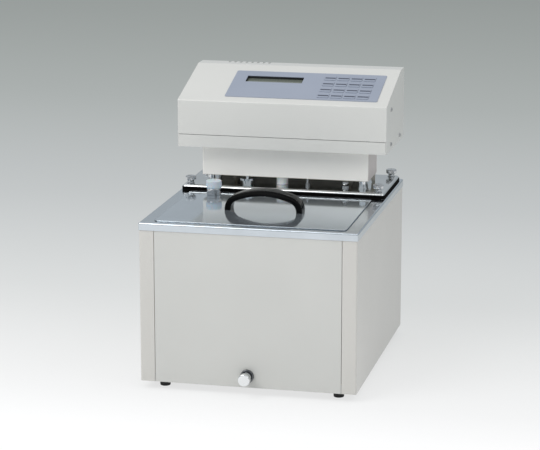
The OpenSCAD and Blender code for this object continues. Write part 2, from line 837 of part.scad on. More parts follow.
module head_chassis() {
    w = head_w - 2 * sheet_t - 0.4;
    slot_w = 60;
    slot_d = 30;
    color(paint) on_bench() difference() {
        translate([-w / 2, head_y, head_z]) cube([w, head_d, head_pan_h]);
        translate([-w / 2 + sheet_t, head_y + sheet_t, head_z + sheet_t])
            cube([w - 2 * sheet_t, head_d - 2 * sheet_t, head_pan_h]);
        // Shaft hole and two wire openings above the neck
        translate([axis_x, axis_y, head_z - 1]) cylinder(r = motor_r * 0.6, h = sheet_t + 2);
        for (x = [-1, 1])
            translate([x * 90 - slot_w / 2, heater_y - slot_d + 6, head_z - 1])
                cube([slot_w, slot_d, sheet_t + 2]);
        for (side = [0, 1]) mirror([side, 0, 0]) at_side_screws()
            translate([w / 2 - 2 * sheet_t, 0, 0]) rotate([0, 90, 0])
                cylinder(r = small_shank_r + 0.2, h = 3 * sheet_t);
    }
}

// Middles of the cover's three folds, in depth and height above the head's underside.
// The slope rises 7 for every 24 back, the sides of a right triangle of 25.
cover_top = head_front_h + slope_rise;
slope_out = [-0.28, 0.96];
fold_1 = [fold_r, head_front_h - 0.75 * fold_r];
fold_2 = fold_1 + slope_len * [0.96, 0.28];
fold_3 = [head_d - fold_r, cover_top - fold_r];
head_seam = head_pan_h + seam_gap;

// Quarter or less of a bend in the sheet, between two directions from its middle
module fold(middle, from, to) {
    far = 2 * fold_r;
    translate(middle) difference() {
        intersection() {
            circle(r = fold_r);
            polygon([[0, 0], far * from, far * (from + to), far * to]);
        }
        circle(r = fold_r - sheet_t);
    }
}

// The bent strip that makes the front, the slope, the level top and the rear
module cover_strip() {
    inner = fold_r - sheet_t;
    translate([0, head_seam]) square([sheet_t, fold_1[1] - head_seam]);
    fold(fold_1, slope_out, [-1, 0]);
    polygon([fold_1 + inner * slope_out, fold_1 + fold_r * slope_out, fold_2 + fold_r * slope_out,
        fold_2 + inner * slope_out]);
    fold(fold_2, [0, 1], slope_out);
    translate([fold_2[0], cover_top - sheet_t]) square([fold_3[0] - fold_2[0], sheet_t]);
    fold(fold_3, [1, 0], [0, 1]);
    translate([head_d - sheet_t, head_seam]) square([sheet_t, fold_3[1] - head_seam]);
}

// Side cheek, welded just inside the strip's outer skin
module cover_cheek() {
    r = fold_r - sheet_t / 4;
    polygon([[fold_r - r, 0], fold_1 - [r, 0], fold_1 + r * slope_out, fold_2 + r * slope_out,
        fold_2 + [0, r], fold_3 + [0, r], fold_3 + [r, 0], [head_d - fold_r + r, 0]]);
}

// Openings behind the control panel's film
module panel_cuts(deep) {
    key_field = key_n * key_pitch;
    on_slope(lcd_x, lcd_v) translate([0, 0, -deep / 2 + 1])
        cube([lcd_w + 7, lcd_l + 7, deep + 2], center = true);
    on_slope(keys_x, keys_v) translate([0, 0, -deep / 2 + 1])
        cube([key_field + 1, key_field + 1, deep + 2], center = true);
}

module head_cover() {
    color(paint) on_bench() difference() {
        translate([0, head_y, head_z]) rotate([90, 0, 90]) {
            linear_extrude(head_w, center = true) cover_strip();
            for (x = [-1, 1]) translate([0, 0, x * (head_w - sheet_t) / 2])
                linear_extrude(sheet_t, center = true) cover_cheek();
        }
        panel_cuts(6);
        for (i = [0:vent_n - 1])
            translate([-vent_x + i * vent_pitch - vent_w / 2, head_y + head_d - vent_reach,
                fold_z + slope_rise - vent_drop])
                cube([vent_w, vent_reach + 1, vent_drop + 1]);
        translate([inlet_x - inlet_w / 2 - 0.2, head_y + head_d - 4, head_z + inlet_z - inlet_h / 2 - 0.2])
            cube([inlet_w + 0.4, 6, inlet_h + 0.4]);
        for (side = [0, 1]) mirror([side, 0, 0]) at_side_screws()
            translate([head_w / 2 - 2 * sheet_t, 0, 0]) rotate([0, 90, 0])
                cylinder(r = small_shank_r + 0.2, h = 3 * sheet_t);
    }
}

module cover_screws() {
    nut_z = 2 * sheet_t + 0.2;
    color(dull_steel) on_bench() for (side = [0, 1]) mirror([side, 0, 0]) at_side_screws()
        translate([head_w / 2, 0, 0]) rotate([0, 90, 0]) {
            pan_screw(nut_z + 4);
            // Nut inside the sheet
            translate([0, 0, -nut_z - 3]) cylinder(r = 3.8, h = 3, $fn = 6);
        }
}

// Where each key stands on the slope, row 1 at the top
module at_key(r, c) {
    half = (key_n - 1) / 2;
    on_slope(keys_x + (c - 1 - half) * key_pitch, keys_v - (r - 1 - half) * key_pitch) children();
}

module key_outline(grow) {
    round_rect(key_w + 2 * grow, key_l + 2 * grow, 1.5 + grow);
}

module control_panel() {
    color(blue_film) on_bench() difference() {
        on_slope(panel_x, panel_v) linear_extrude(panel_t) round_rect(panel_w, panel_l, panel_corner);
        on_slope(lcd_x, lcd_v) translate([0, 0, -1]) linear_extrude(panel_t + 2) round_rect(lcd_w, lcd_l, 1);
        for (r = [1:key_n], c = [1:key_n])
            at_key(r, c) translate([0, 0, -1]) linear_extrude(panel_t + 2) key_outline(key_gap);
    }
}

// A key's cap with the rim that holds it under the film
module key(r, c) {
    rim_t = 0.6;
    rim_w = 0.8;
    color(blue_film) on_bench() at_key(r, c) {
        translate([0, 0, -key_gap - rim_t])
            linear_extrude(panel_t + key_proud + key_gap + rim_t) key_outline(0);
        translate([0, 0, -key_gap - rim_t]) linear_extrude(rim_t) key_outline(rim_w);
    }
}

module lcd_bezel() {
    color(black_plastic) on_bench() on_slope(lcd_x, lcd_v) translate([0, 0, -lcd_deep]) difference() {
        linear_extrude(lcd_deep) round_rect(lcd_w + 6, lcd_l + 6, 1.5);
        translate([0, 0, -1]) linear_extrude(lcd_deep + 2) round_rect(lcd_w, lcd_l, 1);
    }
}

module lcd_window() {
    color([0.75, 0.80, 0.74, 0.4]) on_bench() on_slope(lcd_x, lcd_v)
        translate([0, 0, -lcd_deep - 1.5]) linear_extrude(1.5) round_rect(lcd_w + 6, lcd_l + 6, 1.5);
}

// One board behind the slope with the display and the sixteen dome switches
module display_board() {
    board_t = 1.6;
    board_v = -lcd_deep - 1.5 - 3 - board_t;
    key_floor = -key_gap - 0.6;
    dome_gap = key_travel + 0.1;
    key_field = key_n * key_pitch;
    left = lcd_x - lcd_w / 2 - 8;
    right = keys_x + key_field / 2 + 4;
    color([0.45, 0.52, 0.42]) on_bench() {
        on_slope((left + right) / 2, panel_v) translate([0, 0, board_v])
            linear_extrude(board_t) square([right - left, panel_l - 6], center = true);
        on_slope(lcd_x, lcd_v) translate([0, 0, board_v + board_t - eps])
            linear_extrude(3 + eps) square([lcd_w + 4, lcd_l + 4], center = true);
        for (r = [1:key_n], c = [1:key_n]) at_key(r, c)
            translate([0, 0, board_v + board_t - eps])
                cylinder(r = 2.5, h = key_floor - dome_gap - board_v - board_t + eps, $fn = 24);
    }
}

// Main board on stand-offs, with its relay's finned heat sink and a transformer
module control_board() {
    board_w = 150;
    board_d = 62;
    standoff = 6;
    fin_n = 9;
    fin_pitch = 5;
    color([0.20, 0.38, 0.25]) on_bench()
        translate([60, head_y + head_d - board_d / 2 - 28, head_z + sheet_t]) {
            for (x = [-1, 1], y = [-1, 1])
                translate([x * (board_w / 2 - 5), y * (board_d / 2 - 5), 0])
                    cylinder(r = 2.5, h = standoff + eps, $fn = 24);
            translate([0, 0, standoff + 0.8]) cube([board_w, board_d, 1.6], center = true);
            translate([-board_w / 2 + 12, -22, standoff + 1.6 - eps]) {
                cube([44, 44, 4]);
                for (i = [0:fin_n - 1]) translate([i * fin_pitch, 0, 0]) cube([2, 44, 26]);
            }
            translate([16, -22, standoff + 1.6 - eps]) cube([46, 40, 32]);
        }
}

module pump_motor() {
    boss_r = motor_r * 0.5;
    base = head_z + sheet_t;
    color(dull_steel) on_bench() translate([axis_x, axis_y, base]) difference() {
        union() {
            cylinder(r = motor_r + 3, h = 4);
            cylinder(r = motor_r, h = motor_h);
            translate([0, 0, motor_h - eps]) cylinder(r = motor_r * 0.45, h = 4);
            translate([0, 0, -sheet_t - 8]) cylinder(r = boss_r, h = sheet_t + 8 + eps);
        }
        translate([0, 0, -sheet_t - 9]) cylinder(r = shaft_r + run_play, h = sheet_t + 9 + 20.5);
    }
}

module shaft_coupling() {
    groove = 1;
    low = bridge_top + seat_gap + 0.3;
    tall = gap_h + 12;
    color(white_ptfe) on_bench() translate([axis_x, axis_y, low]) difference() {
        cylinder(r = coupling_r, h = tall);
        translate([0, 0, -1]) cylinder(r = shaft_r, h = tall + 2);
        translate([0, 0, 3]) difference() {
            cylinder(r = coupling_r + 1, h = groove);
            translate([0, 0, -1]) cylinder(r = coupling_r - 0.8, h = groove + 2);
        }
    }
}

module pump_shaft() {
    top = head_z + sheet_t + 20;
    color(bright_steel) on_bench() translate([axis_x, axis_y, pump_z + 4])
        cylinder(r = shaft_r, h = top - pump_z - 4);
}

module impeller() {
    hub_r = shaft_r + 3;
    blade_t = 1.6;
    blade_h = 16;
    pitch_a = 35;
    z = pump_z + 8;
    color(dull_steel) on_bench() translate([axis_x, axis_y, z]) difference() {
        union() {
            cylinder(r = hub_r, h = blade_h + 4);
            intersection() {
                for (i = [0:blade_n - 1]) rotate([0, 0, i * 360 / blade_n])
                    translate([blade_r / 2, 0, blade_h / 2 + 2]) rotate([pitch_a, 0, 0])
                        cube([blade_r + 2, blade_t, blade_h], center = true);
                cylinder(r = blade_r, h = blade_h + 4);
            }
        }
        translate([0, 0, -1]) cylinder(r = shaft_r, h = blade_h + 6);
    }
}

// Open-bottomed housing with four outlets, hung from the bridge on three stays
module pump_housing() {
    wall = 1.5;
    stay_r = 3;
    stay_ring = pump_r - stay_r - 2.5;
    outlet_w = 22;
    outlet_h = 18;
    color(bright_steel) on_bench() translate([axis_x, axis_y, pump_z]) {
        difference() {
            cylinder(r = pump_r, h = pump_h);
            translate([0, 0, -1]) cylinder(r = pump_r - wall, h = pump_h + 1 - wall);
            translate([0, 0, -1]) cylinder(r = shaft_r + run_play, h = pump_h + 2);
            for (a = [0:90:270]) rotate([0, 0, a + 45])
                translate([pump_r, 0, pump_h - outlet_h / 2 - 6])
                    cube([2 * wall + 6, outlet_w, outlet_h], center = true);
        }
        for (a = [90, 210, 330]) rotate([0, 0, a]) translate([stay_ring, 0, pump_h - eps])
            cylinder(r = stay_r, h = bridge_top - steel_t - pump_z - pump_h + eps);
    }
}

// Sheathed tube bent into upright hairpins, its two ends up through the bridge
module heater_element() {
    u_r = heater_pitch / 2;
    span = (heater_legs - 1) * heater_pitch / 2;
    low = tank_bottom + heater_clear + u_r;
    high = low + heater_leg;
    end_z = neck_z + 22;
    color([0.45, 0.43, 0.40]) on_bench() translate([0, heater_y, 0]) {
        for (i = [0:heater_legs - 1]) {
            is_end = i == 0 || i == heater_legs - 1;
            translate([-span + i * heater_pitch, 0, low - eps])
                cylinder(r = heater_r, h = (is_end ? end_z : high) - low + 2 * eps);
        }
        for (i = [0:heater_legs - 2])
            translate([-span + (i + 0.5) * heater_pitch, 0, i % 2 == 0 ? low : high])
                rotate([90, 0, 0]) rotate([0, 0, i % 2 == 0 ? 180 : 0])
                    rotate_extrude(angle = 180) translate([u_r, 0]) circle(r = heater_r);
        // Brazed flanges where the ends pass the bridge
        for (x = [-1, 1]) translate([x * span, 0, bridge_top]) cylinder(r = heater_r + 4, h = 3);
    }
}

module probe(x, r, deep) {
    up = 16;
    translate([x, probe_y, bridge_top - deep]) {
        translate([0, 0, r]) cylinder(r = r, h = deep + gap_h + up - r);
        translate([0, 0, r]) sphere(r = r);
    }
}

module temperature_probe() {
    color(bright_steel) on_bench() {
        probe(probe_x, probe_r, probe_len);
        translate([probe_x, probe_y, bridge_top]) cylinder(r = probe_r + 2.6, h = 4, $fn = 6);
    }
}

module overheat_probe() {
    color(bright_steel) on_bench() {
        probe(-guard_x, guard_r, probe_len);
        translate([-guard_x, probe_y, bridge_top]) cylinder(r = guard_r + 5.5, h = 5 + eps);
        translate([-guard_x, probe_y, bridge_top + 5]) cylinder(r = guard_r + 9.3, h = 3.6);
    }
}

module level_probe() {
    ball_r = level_r + 2.4;
    color(bright_steel) on_bench() {
        probe(level_x, level_r, probe_len - 40);
        translate([level_x, probe_y, bridge_top]) cylinder(r = level_r + 3, h = 3);
        translate([level_x, probe_y, bridge_top + 7.5]) sphere(r = ball_r);
    }
}

// Mains inlet and switch frame in one moulding, set into the rear of the head
module at_inlet() {
    translate([inlet_x, head_y + head_d, head_z + inlet_z]) rotate([-90, 0, 0]) children();
}

module inlet_module() {
    lip = 2.5;
    deep = 22;
    pin_w = 2;
    half = inlet_h / 2;
    color(black_plastic) on_bench() at_inlet() difference() {
        union() {
            linear_extrude(1.8) round_rect(inlet_w + 2 * lip, inlet_h + 2 * lip, 2);
            translate([0, 0, -deep]) linear_extrude(deep + eps) square([inlet_w, inlet_h], center = true);
        }
        // Socket with a clipped corner pair
        translate([0, half - 18, -16]) linear_extrude(20) difference() {
            square([24, 19], center = true);
            for (x = [-1, 1]) translate([x * 12, 9.5]) rotate([0, 0, 45]) square([7, 7], center = true);
        }
        // Well for the rocker and the holes for its pins
        translate([0, -half + 14, -14])
            linear_extrude(20) square([rocker_w + 0.8, rocker_l + 1], center = true);
        translate([0, -half + 14, rocker_pin_z]) rotate([0, 90, 0])
            cylinder(r = 1.6 + run_play, h = rocker_w + 6.6, center = true);
    }
    color([0.75, 0.70, 0.50]) on_bench() at_inlet() translate([0, half - 18, -16 - eps]) {
        for (x = [-7, 0, 7]) translate([x, x == 0 ? -3 : 3, 0]) linear_extrude(12)
            square([pin_w, 4], center = true);
    }
}

// Rocker on a cross pin, its face a shallow vee
module power_rocker() {
    half = inlet_h / 2;
    r = rocker_l / 2 - 0.3;
    tilt = rocker_a / 2;
    color([0.08, 0.08, 0.09]) on_bench() at_inlet()
        translate([0, -half + 14, rocker_pin_z]) rotate([tilt, 0, 0]) {
        rotate([0, 90, 0]) cylinder(r = 1.6, h = rocker_w + 6, center = true, $fn = 32);
        difference() {
            intersection() {
                rotate([0, 90, 0]) cylinder(r = r, h = rocker_w, center = true);
                translate([0, 0, 4]) cube([rocker_w, rocker_l, 16], center = true);
            }
            for (s = [-1, 1]) translate([0, 0, 7.4]) rotate([-s * tilt, 0, 0])
                translate([0, -s * (rocker_l / 2 - 0.1), 5])
                    cube([rocker_w + 2, rocker_l, 10], center = true);
        }
    }
}

side_panel_left();
side_panel_right();
front_panel();
rear_panel();
base_pan();
feet();
foot_screws();
bath_tank();
tank_insulation();
deck_plate();
drain_pipe();
drain_ring();
drain_cap();
lid_panel();
lid_handle();
handle_screws();
port_collar();
port_stopper();
bridge_plate();
thumb_screw_front_left();
thumb_screw_front_right();
thumb_screw_rear_left();
thumb_screw_rear_right();
support_posts();
neck_shroud();
head_chassis();
head_cover();
cover_screws();
control_panel();
lcd_bezel();
lcd_window();
display_board();
control_board();
pump_motor();
shaft_coupling();
pump_shaft();
impeller();
pump_housing();
heater_element();
temperature_probe();
overheat_probe();
level_probe();
inlet_module();
power_rocker();
for (r = [1:key_n], c = [1:key_n])
    key(r, c);
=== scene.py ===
"""Looks of a bench-top thermostatic bath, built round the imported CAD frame.

Every piece is in metres in the frame's own axes. CAD nodes whose shape is right keep it and get a
finish; the bow handle, the hand screws, the port, the drain knob, the feet, the lid and the small
screws are modelled again with the roundings and knurls that the solids leave out.
"""

from __future__ import annotations

import logging
import math
from abc import ABC, abstractmethod
from dataclasses import dataclass
from enum import Enum
from typing import Callable, Iterable, Sequence

import bmesh
import bpy
from mathutils import Matrix, Vector


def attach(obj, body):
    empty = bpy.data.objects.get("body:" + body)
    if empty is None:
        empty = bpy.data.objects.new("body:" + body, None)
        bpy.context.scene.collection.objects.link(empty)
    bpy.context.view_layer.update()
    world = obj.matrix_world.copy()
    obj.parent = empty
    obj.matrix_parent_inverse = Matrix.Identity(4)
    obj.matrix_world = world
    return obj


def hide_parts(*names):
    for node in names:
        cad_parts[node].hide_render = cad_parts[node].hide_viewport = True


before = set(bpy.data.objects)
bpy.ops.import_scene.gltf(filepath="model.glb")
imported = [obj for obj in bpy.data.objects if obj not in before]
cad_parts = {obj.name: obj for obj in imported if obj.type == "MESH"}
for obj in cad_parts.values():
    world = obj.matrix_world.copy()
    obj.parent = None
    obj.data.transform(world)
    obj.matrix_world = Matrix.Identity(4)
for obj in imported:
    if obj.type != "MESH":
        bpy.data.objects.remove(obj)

LOG = logging.getLogger("bath")
MM = 0.001
MERGE = 1e-7
Point = tuple[float, float, float]
Colour = tuple[float, float, float]
Socket = bpy.types.NodeSocket
Points = Iterable[Sequence[float]]
Loop = list[bmesh.types.BMVert]
Profile = Sequence[Sequence[float]]
Pair = tuple[float, float]
Tones = Sequence[tuple[float, Colour]]


def srgb(red: int, green: int, blue: int) -> Colour:
    """Turns an 8-bit display colour into the linear values that shaders take."""
    parts = (value / 255 for value in (red, green, blue))
    return tuple(
        part / 12.92 if part <= 0.04045 else ((part + 0.055) / 1.055) ** 2.4 for part in parts
    )


def shade(colour: Colour, factor: float, lift: float = 0.0) -> Colour:
    """Multiplies each part of a linear colour by a factor and adds a lift."""
    return tuple(min(1.0, factor * part + lift) for part in colour)


class Body(Enum):
    """The frame's moving bodies that new pieces ride on."""

    CABINET = "cabinet"
    LID = "lid"
    STOPPER = "stopper"
    HEAD = "head_unit"
    DRAIN_CAP = "drain_cap"


class Grain(Enum):
    """Which way the fine scratches of a metal run, as stretch factors along x, y and z."""

    ALONG_X = (0.02, 1.0, 1.0)
    ALONG_Z = (1.0, 1.0, 0.02)
    TURNED = (1.0, 1.0, 1.0)


@dataclass(frozen=True)
class Datum:
    """Places of the cabinet's own frame in the row frame.

    Attributes:
        front_y: The cabinet's front face, in metres.
        base_z: The cabinet's underside, in metres.
    """

    front_y: float = -0.1975
    base_z: float = 0.013

    def at(self, x: float, y: float, z: float) -> Vector:
        """Turns mm right of the middle, behind the face and over the underside into metres."""
        return Vector((x * MM, self.front_y + y * MM, self.base_z + z * MM))


@dataclass(frozen=True)
class Heights:
    """Heights above the cabinet's underside, in mm, as in the part's source."""

    deck: float = 259.0
    lid: float = 260.6
    bridge: float = 268.7
    head: float = 335.0
    fold: float = 414.0


DATUM = Datum()
HEIGHT = Heights()
SLOPE_SIN = 0.28
SLOPE_COS = 0.96
HEAD_Y = 243.0


def on_slope(u: float, v: float, out: float) -> Vector:
    """Finds a point u to the right, v up the head's slope and so far out of it, in mm."""
    y = HEAD_Y + v * SLOPE_COS - out * SLOPE_SIN
    return DATUM.at(u, y, HEIGHT.fold + v * SLOPE_SIN + out * SLOPE_COS)


class NodeGraph:
    """Short way to write the node tree of a material or the world."""

    def __init__(
        self, owner: bpy.types.Material | bpy.types.World, kind: str = "ShaderNodeOutputMaterial"
    ) -> None:
        """Empties the owner's node tree but for an output.

        Args:
            owner: The material or the world.
            kind: Blender's type of the output node.
        """
        owner.use_nodes = True
        self.tree = owner.node_tree
        self.tree.nodes.clear()
        self.output = self.add(kind)

    def feed(self, socket: Socket, value: Socket | Colour | float) -> None:
        """Gives an input its value.

        Args:
            socket: The input.
            value: Another node's output, a linear colour, a vector or a number.
        """
        if isinstance(value, Socket):
            self.tree.links.new(value, socket)
        elif socket.type == "RGBA":
            socket.default_value = (*value, 1.0)
        else:
            socket.default_value = value

    def add(
        self, kind: str, inputs: dict[str | int, object] | None = None, **settings: object
    ) -> bpy.types.Node:
        """Adds a node.

        Args:
            kind: Blender's node type.
            inputs: What its inputs are given, by name or number.
            **settings: Attributes of the node.

        Returns:
            The node.
        """
        node = self.tree.nodes.new(kind)
        for key, value in settings.items():
            setattr(node, key, value)
        for key, value in (inputs or {}).items():
            self.feed(node.inputs[key], value)
        return node

    def coordinates(self, scale: Point = (1.0, 1.0, 1.0), turn: Point = (0.0, 0.0, 0.0)) -> Socket:
        """Gives object coordinates, with factors along the axes and angles about them."""
        inputs = {"Vector": self.place("Object"), "Scale": scale, "Rotation": turn}
        return self.add("ShaderNodeMapping", inputs).outputs["Vector"]

    def place(self, kind: str) -> Socket:
        """Gives plain coordinates, under Blender's name for them."""
        return self.add("ShaderNodeTexCoord").outputs[kind]

    def part(self, vector: Socket, axis: str) -> Socket:
        """Gives a vector's X, Y or Z."""
        return self.add("ShaderNodeSeparateXYZ", {"Vector": vector}).outputs[axis]

    def reckon(self, kind: str, *values: Socket | float) -> Socket:
        """Works out one step of arithmetic, under Blender's name for it."""
        return self.add("ShaderNodeMath", dict(enumerate(values)), operation=kind).outputs[0]

    def noise(
        self, vector: Socket, scale: float, detail: float = 2.0, rough: float = 0.5
    ) -> Socket:
        """Adds a noise texture and gives its grey value."""
        inputs = {"Vector": vector, "Scale": scale, "Detail": detail, "Roughness": rough}
        return self.add("ShaderNodeTexNoise", inputs).outputs["Fac"]

    def spread(
        self, value: Socket, low: float, high: float, start: float = 0.3, stop: float = 0.7
    ) -> Socket:
        """Maps a grey value that runs from start to stop onto low to high."""
        ends = {"From Min": start, "From Max": stop, "To Min": low, "To Max": high}
        return self.add("ShaderNodeMapRange", {"Value": value, **ends}).outputs["Result"]

    def blend(self, factor: Socket, first: Socket | Colour, second: Socket | Colour) -> Socket:
        """Mixes two colours; a factor of 0 gives the first, 1 the second."""
        inputs = {0: factor, 6: first, 7: second}
        return self.add("ShaderNodeMix", inputs, data_type="RGBA").outputs[2]

    def ramp(self, value: Socket, stops: Tones, kind: str = "LINEAR") -> Socket:
        """Turns a grey value into a colour.

        Args:
            value: The grey value.
            stops: Values, rising, and their linear colours.
            kind: Blender's name for what happens between the stops.

        Returns:
            The colour.
        """
        node = self.add("ShaderNodeValToRGB", {"Fac": value})
        node.color_ramp.interpolation = kind
        elements = node.color_ramp.elements
        while len(elements) > 1:
            elements.remove(elements[0])
        for index, (spot, colour) in enumerate(stops):
            element = elements.new(spot) if index else elements[0]
            element.position = spot
            element.color = (*colour, 1.0)
        return node.outputs["Color"]

    def bump(self, height: Socket, strength: float, distance: float) -> Socket:
        """Turns a grey height, whose full span is a distance in metres, into a normal."""
        inputs = {"Height": height, "Strength": strength, "Distance": distance}
        return self.add("ShaderNodeBump", inputs).outputs["Normal"]

    def show(self, socket: Socket) -> None:
        """Joins a shader to the output."""
        self.feed(self.output.inputs["Surface"], socket)

    def surface(self, **values: Socket | float) -> None:
        """Joins the main shader to the output; underscores in its inputs stand for spaces."""
        inputs = {key.replace("_", " "): value for key, value in values.items()}
        self.show(self.add("ShaderNodeBsdfPrincipled", inputs).outputs["BSDF"])


MADE: dict[str, bpy.types.Material] = {}


@dataclass(frozen=True)
class Finish(ABC):
    """A surface finish that makes its material once and hands it out again.

    Attributes:
        name: The material's name.
        colour: Its linear colour.
    """

    name: str
    colour: Colour

    def material(self) -> bpy.types.Material:
        """Gives the finish's material, making it on the first call.

        Returns:
            The material.
        """
        if self.name not in MADE:
            MADE[self.name] = bpy.data.materials.new(self.name)
            self.build(NodeGraph(MADE[self.name]))
            LOG.info("finish %s made", self.name)
        return MADE[self.name]

    @abstractmethod
    def build(self, graph: NodeGraph) -> None:
        """Lays the finish's nodes."""


@dataclass(frozen=True)
class Enamel(Finish):
    """Baked enamel on sheet steel, with a faint orange peel and slow changes of shade.

    Attributes:
        rough: Its roughness.
        peel: Strength of the orange peel.
        shade_below: Height in metres below which painted shade darkens the coat, or 0 for none.
        under_shade: The linear colour of that painted shade.
        side_shade_from: Distance in metres from the middle beyond which shade is painted, or 0.
        side: The linear colour of that painted shade on the sides.
    """

    rough: float = 0.36
    peel: float = 0.12
    shade_below: float = 0.0
    under_shade: Colour = (0.0, 0.0, 0.0)
    side_shade_from: float = 0.0
    side: Colour = (0.0, 0.0, 0.0)

    def build(self, graph: NodeGraph) -> None:
        """Lays the enamel's nodes.

        Args:
            graph: The material's nodes.
        """
        place = graph.coordinates()
        slow = graph.noise(place, 9.0, 3.0)
        fine = graph.noise(place, 620.0)
        coat = graph.blend(graph.spread(slow, 0.0, 1.0), self.colour, shade(self.colour, 0.97))
        # Painted shade: the coat is darker on both sides, beyond a distance from the middle.
        if self.side_shade_from:
            across = graph.reckon("ABSOLUTE", graph.part(place, "X"))
            edge = (self.side_shade_from - 0.0001, self.side_shade_from + 0.0001)
            coat = graph.blend(graph.spread(across, 0.0, 1.0, *edge), coat, self.side)
        # Painted shade: below a height the coat turns darker, for the shade under the neck.
        if self.shade_below:
            edge = (self.shade_below - 0.0002, self.shade_below + 0.0002)
            low = graph.spread(graph.part(place, "Z"), 1.0, 0.0, *edge)
            coat = graph.blend(low, coat, self.under_shade)
        graph.surface(
            Coat_Weight=0.25,
            Coat_Roughness=0.25,
            Base_Color=coat,
            Roughness=graph.spread(fine, self.rough - 0.04, self.rough + 0.05),
            Normal=graph.bump(fine, self.peel, 0.00012),
        )


@dataclass(frozen=True)
class Steel(Finish):
    """Stainless steel or plating, with scratches along one way, smudges and a slight tint.

    Attributes:
        rough: Its mean roughness.
        grain: Which way its scratches run.
        scratch: Strength of the scratches.
        smudge: How much the roughness changes over broad patches.
        haze: Share of light that it scatters instead of mirroring.
    """

    rough: float = 0.12
    grain: Grain = Grain.ALONG_X
    scratch: float = 0.05
    smudge: float = 0.05
    haze: float = 0.0

    def build(self, graph: NodeGraph) -> None:
        """Lays the metal's nodes.

        Args:
            graph: The material's nodes.
        """
        lines = graph.noise(graph.coordinates(self.grain.value), 2600.0, 3.0, 0.6)
        patches = graph.noise(graph.coordinates(), 14.0, 4.0, 0.55)
        dull = graph.spread(patches, self.rough - self.smudge / 2, self.rough + self.smudge)
        worn = shade(self.colour, 0.9)
        graph.surface(
            Metallic=1.0 - self.haze,
            Base_Color=graph.blend(graph.spread(patches, 0.0, 1.0), self.colour, worn),
            Roughness=graph.reckon("ADD", graph.spread(lines, -0.02, 0.03), dull),
            Normal=graph.bump(lines, self.scratch, 0.00003),
        )


@dataclass(frozen=True)
class Moulded(Finish):
    """Moulded plastic or rubber, from a glossy handle to a dull foot.

    Attributes:
        rough: Its mean roughness.
        grit: Scale of its surface texture.
        bump: Strength of its surface texture.
        coat: Weight of a clear coat.
        glow: Share of light that passes into it.
        shine: Strength of its plain reflection.
    """

    rough: float = 0.4
    grit: float = 900.0
    bump: float = 0.1
    coat: float = 0.0
    glow: float = 0.0
    shine: float = 0.5

    def build(self, graph: NodeGraph) -> None:
        """Lays the moulding's nodes.

        Args:
            graph: The material's nodes.
        """
        place = graph.coordinates()
        fine = graph.noise(place, self.grit, 3.0, 0.6)
        slow = graph.noise(place, 45.0, 3.0)
        lighter = shade(self.colour, 1.12, 0.003)
        graph.surface(
            Coat_Weight=self.coat,
            Coat_Roughness=0.08,
            Subsurface_Weight=self.glow,
            Subsurface_Scale=0.006,
            Specular_IOR_Level=self.shine,
            Base_Color=graph.blend(graph.spread(slow, 0.0, 1.0), self.colour, lighter),
            Roughness=graph.spread(slow, self.rough - 0.03, self.rough + 0.06),
            Normal=graph.bump(fine, self.bump, 0.00008),
        )


@dataclass(frozen=True)
class PrintedFilm(Finish):
    """Polyester overlay with a fine matte texture over flat printed colour.

    Attributes:
        deep: The linear colour of its darker patches.
    """

    deep: Colour

    def build(self, graph: NodeGraph) -> None:
        """Lays the film's nodes.

        Args:
            graph: The material's nodes.
        """
        place = graph.coordinates()
        grit = graph.noise(place, 2400.0, 2.0, 0.7)
        slow = graph.noise(place, 7.0)
        graph.surface(
            Coat_Weight=0.2,
            Coat_Roughness=0.3,
            Base_Color=graph.blend(graph.spread(slow, 0.0, 1.0), self.colour, self.deep),
            Roughness=graph.spread(grit, 0.34, 0.46),
            Normal=graph.bump(grit, 0.12, 0.00005),
        )


@dataclass(frozen=True)
class DisplayCells(Finish):
    """Blank character display: a grid of faint cells under a clear glossy pane.

    Attributes:
        cell: The linear colour of a blank cell.
        width: Distance between cells, in metres.
        row: Distance between rows.
        gap: The gap between cells.
    """

    cell: Colour
    width: float = 0.0047
    row: float = 0.0095
    gap: float = 0.0004

    def build(self, graph: NodeGraph) -> None:
        """Lays the display's nodes.

        Args:
            graph: The material's nodes.
        """
        inputs = {
            "Vector": graph.coordinates(turn=(-math.asin(SLOPE_SIN), 0.0, 0.0)),
            "Color1": self.cell,
            "Color2": self.cell,
            "Mortar": self.colour,
            "Scale": 1.0,
            "Mortar Size": self.gap,
            "Brick Width": self.width,
            "Row Height": self.row,
        }
        cells = graph.add("ShaderNodeTexBrick", inputs, offset=0.0, squash=1.0)
        fine = graph.noise(graph.coordinates(), 500.0)
        graph.surface(
            Roughness=0.2,
            Coat_Weight=0.6,
            Coat_Roughness=0.05,
            Base_Color=cells.outputs["Color"],
            Normal=graph.bump(fine, 0.02, 0.00003),
        )


@dataclass(frozen=True)
class MineralWool(Finish):
    """Pressed mineral wool: fibrous, dull and uneven."""

    def build(self, graph: NodeGraph) -> None:
        """Lays the wool's nodes.

        Args:
            graph: The material's nodes.
        """
        fibres = graph.noise(graph.coordinates((1.0, 0.3, 1.0)), 420.0, 6.0, 0.7)
        graph.surface(
            Roughness=0.95,
            Sheen_Weight=0.3,
            Base_Color=graph.blend(fibres, shade(self.colour, 0.7), self.colour),
            Normal=graph.bump(fibres, 0.6, 0.0006),
        )


@dataclass(frozen=True)
class CircuitBoard(Finish):
    """Solder-masked board with faint copper paths."""

    def build(self, graph: NodeGraph) -> None:
        """Lays the board's nodes.

        Args:
            graph: The material's nodes.
        """
        inputs = {"Vector": graph.coordinates(), "Scale": 160.0}
        cells = graph.add("ShaderNodeTexVoronoi", inputs, feature="DISTANCE_TO_EDGE")
        paths = graph.spread(cells.outputs["Distance"], 1.0, 0.0, 0.02, 0.05)
        graph.surface(
            Roughness=0.35,
            Coat_Weight=0.4,
            Coat_Roughness=0.2,
            Base_Color=graph.blend(paths, self.colour, shade(self.colour, 1.7, 0.01)),
            Normal=graph.bump(paths, 0.2, 0.00005),
        )


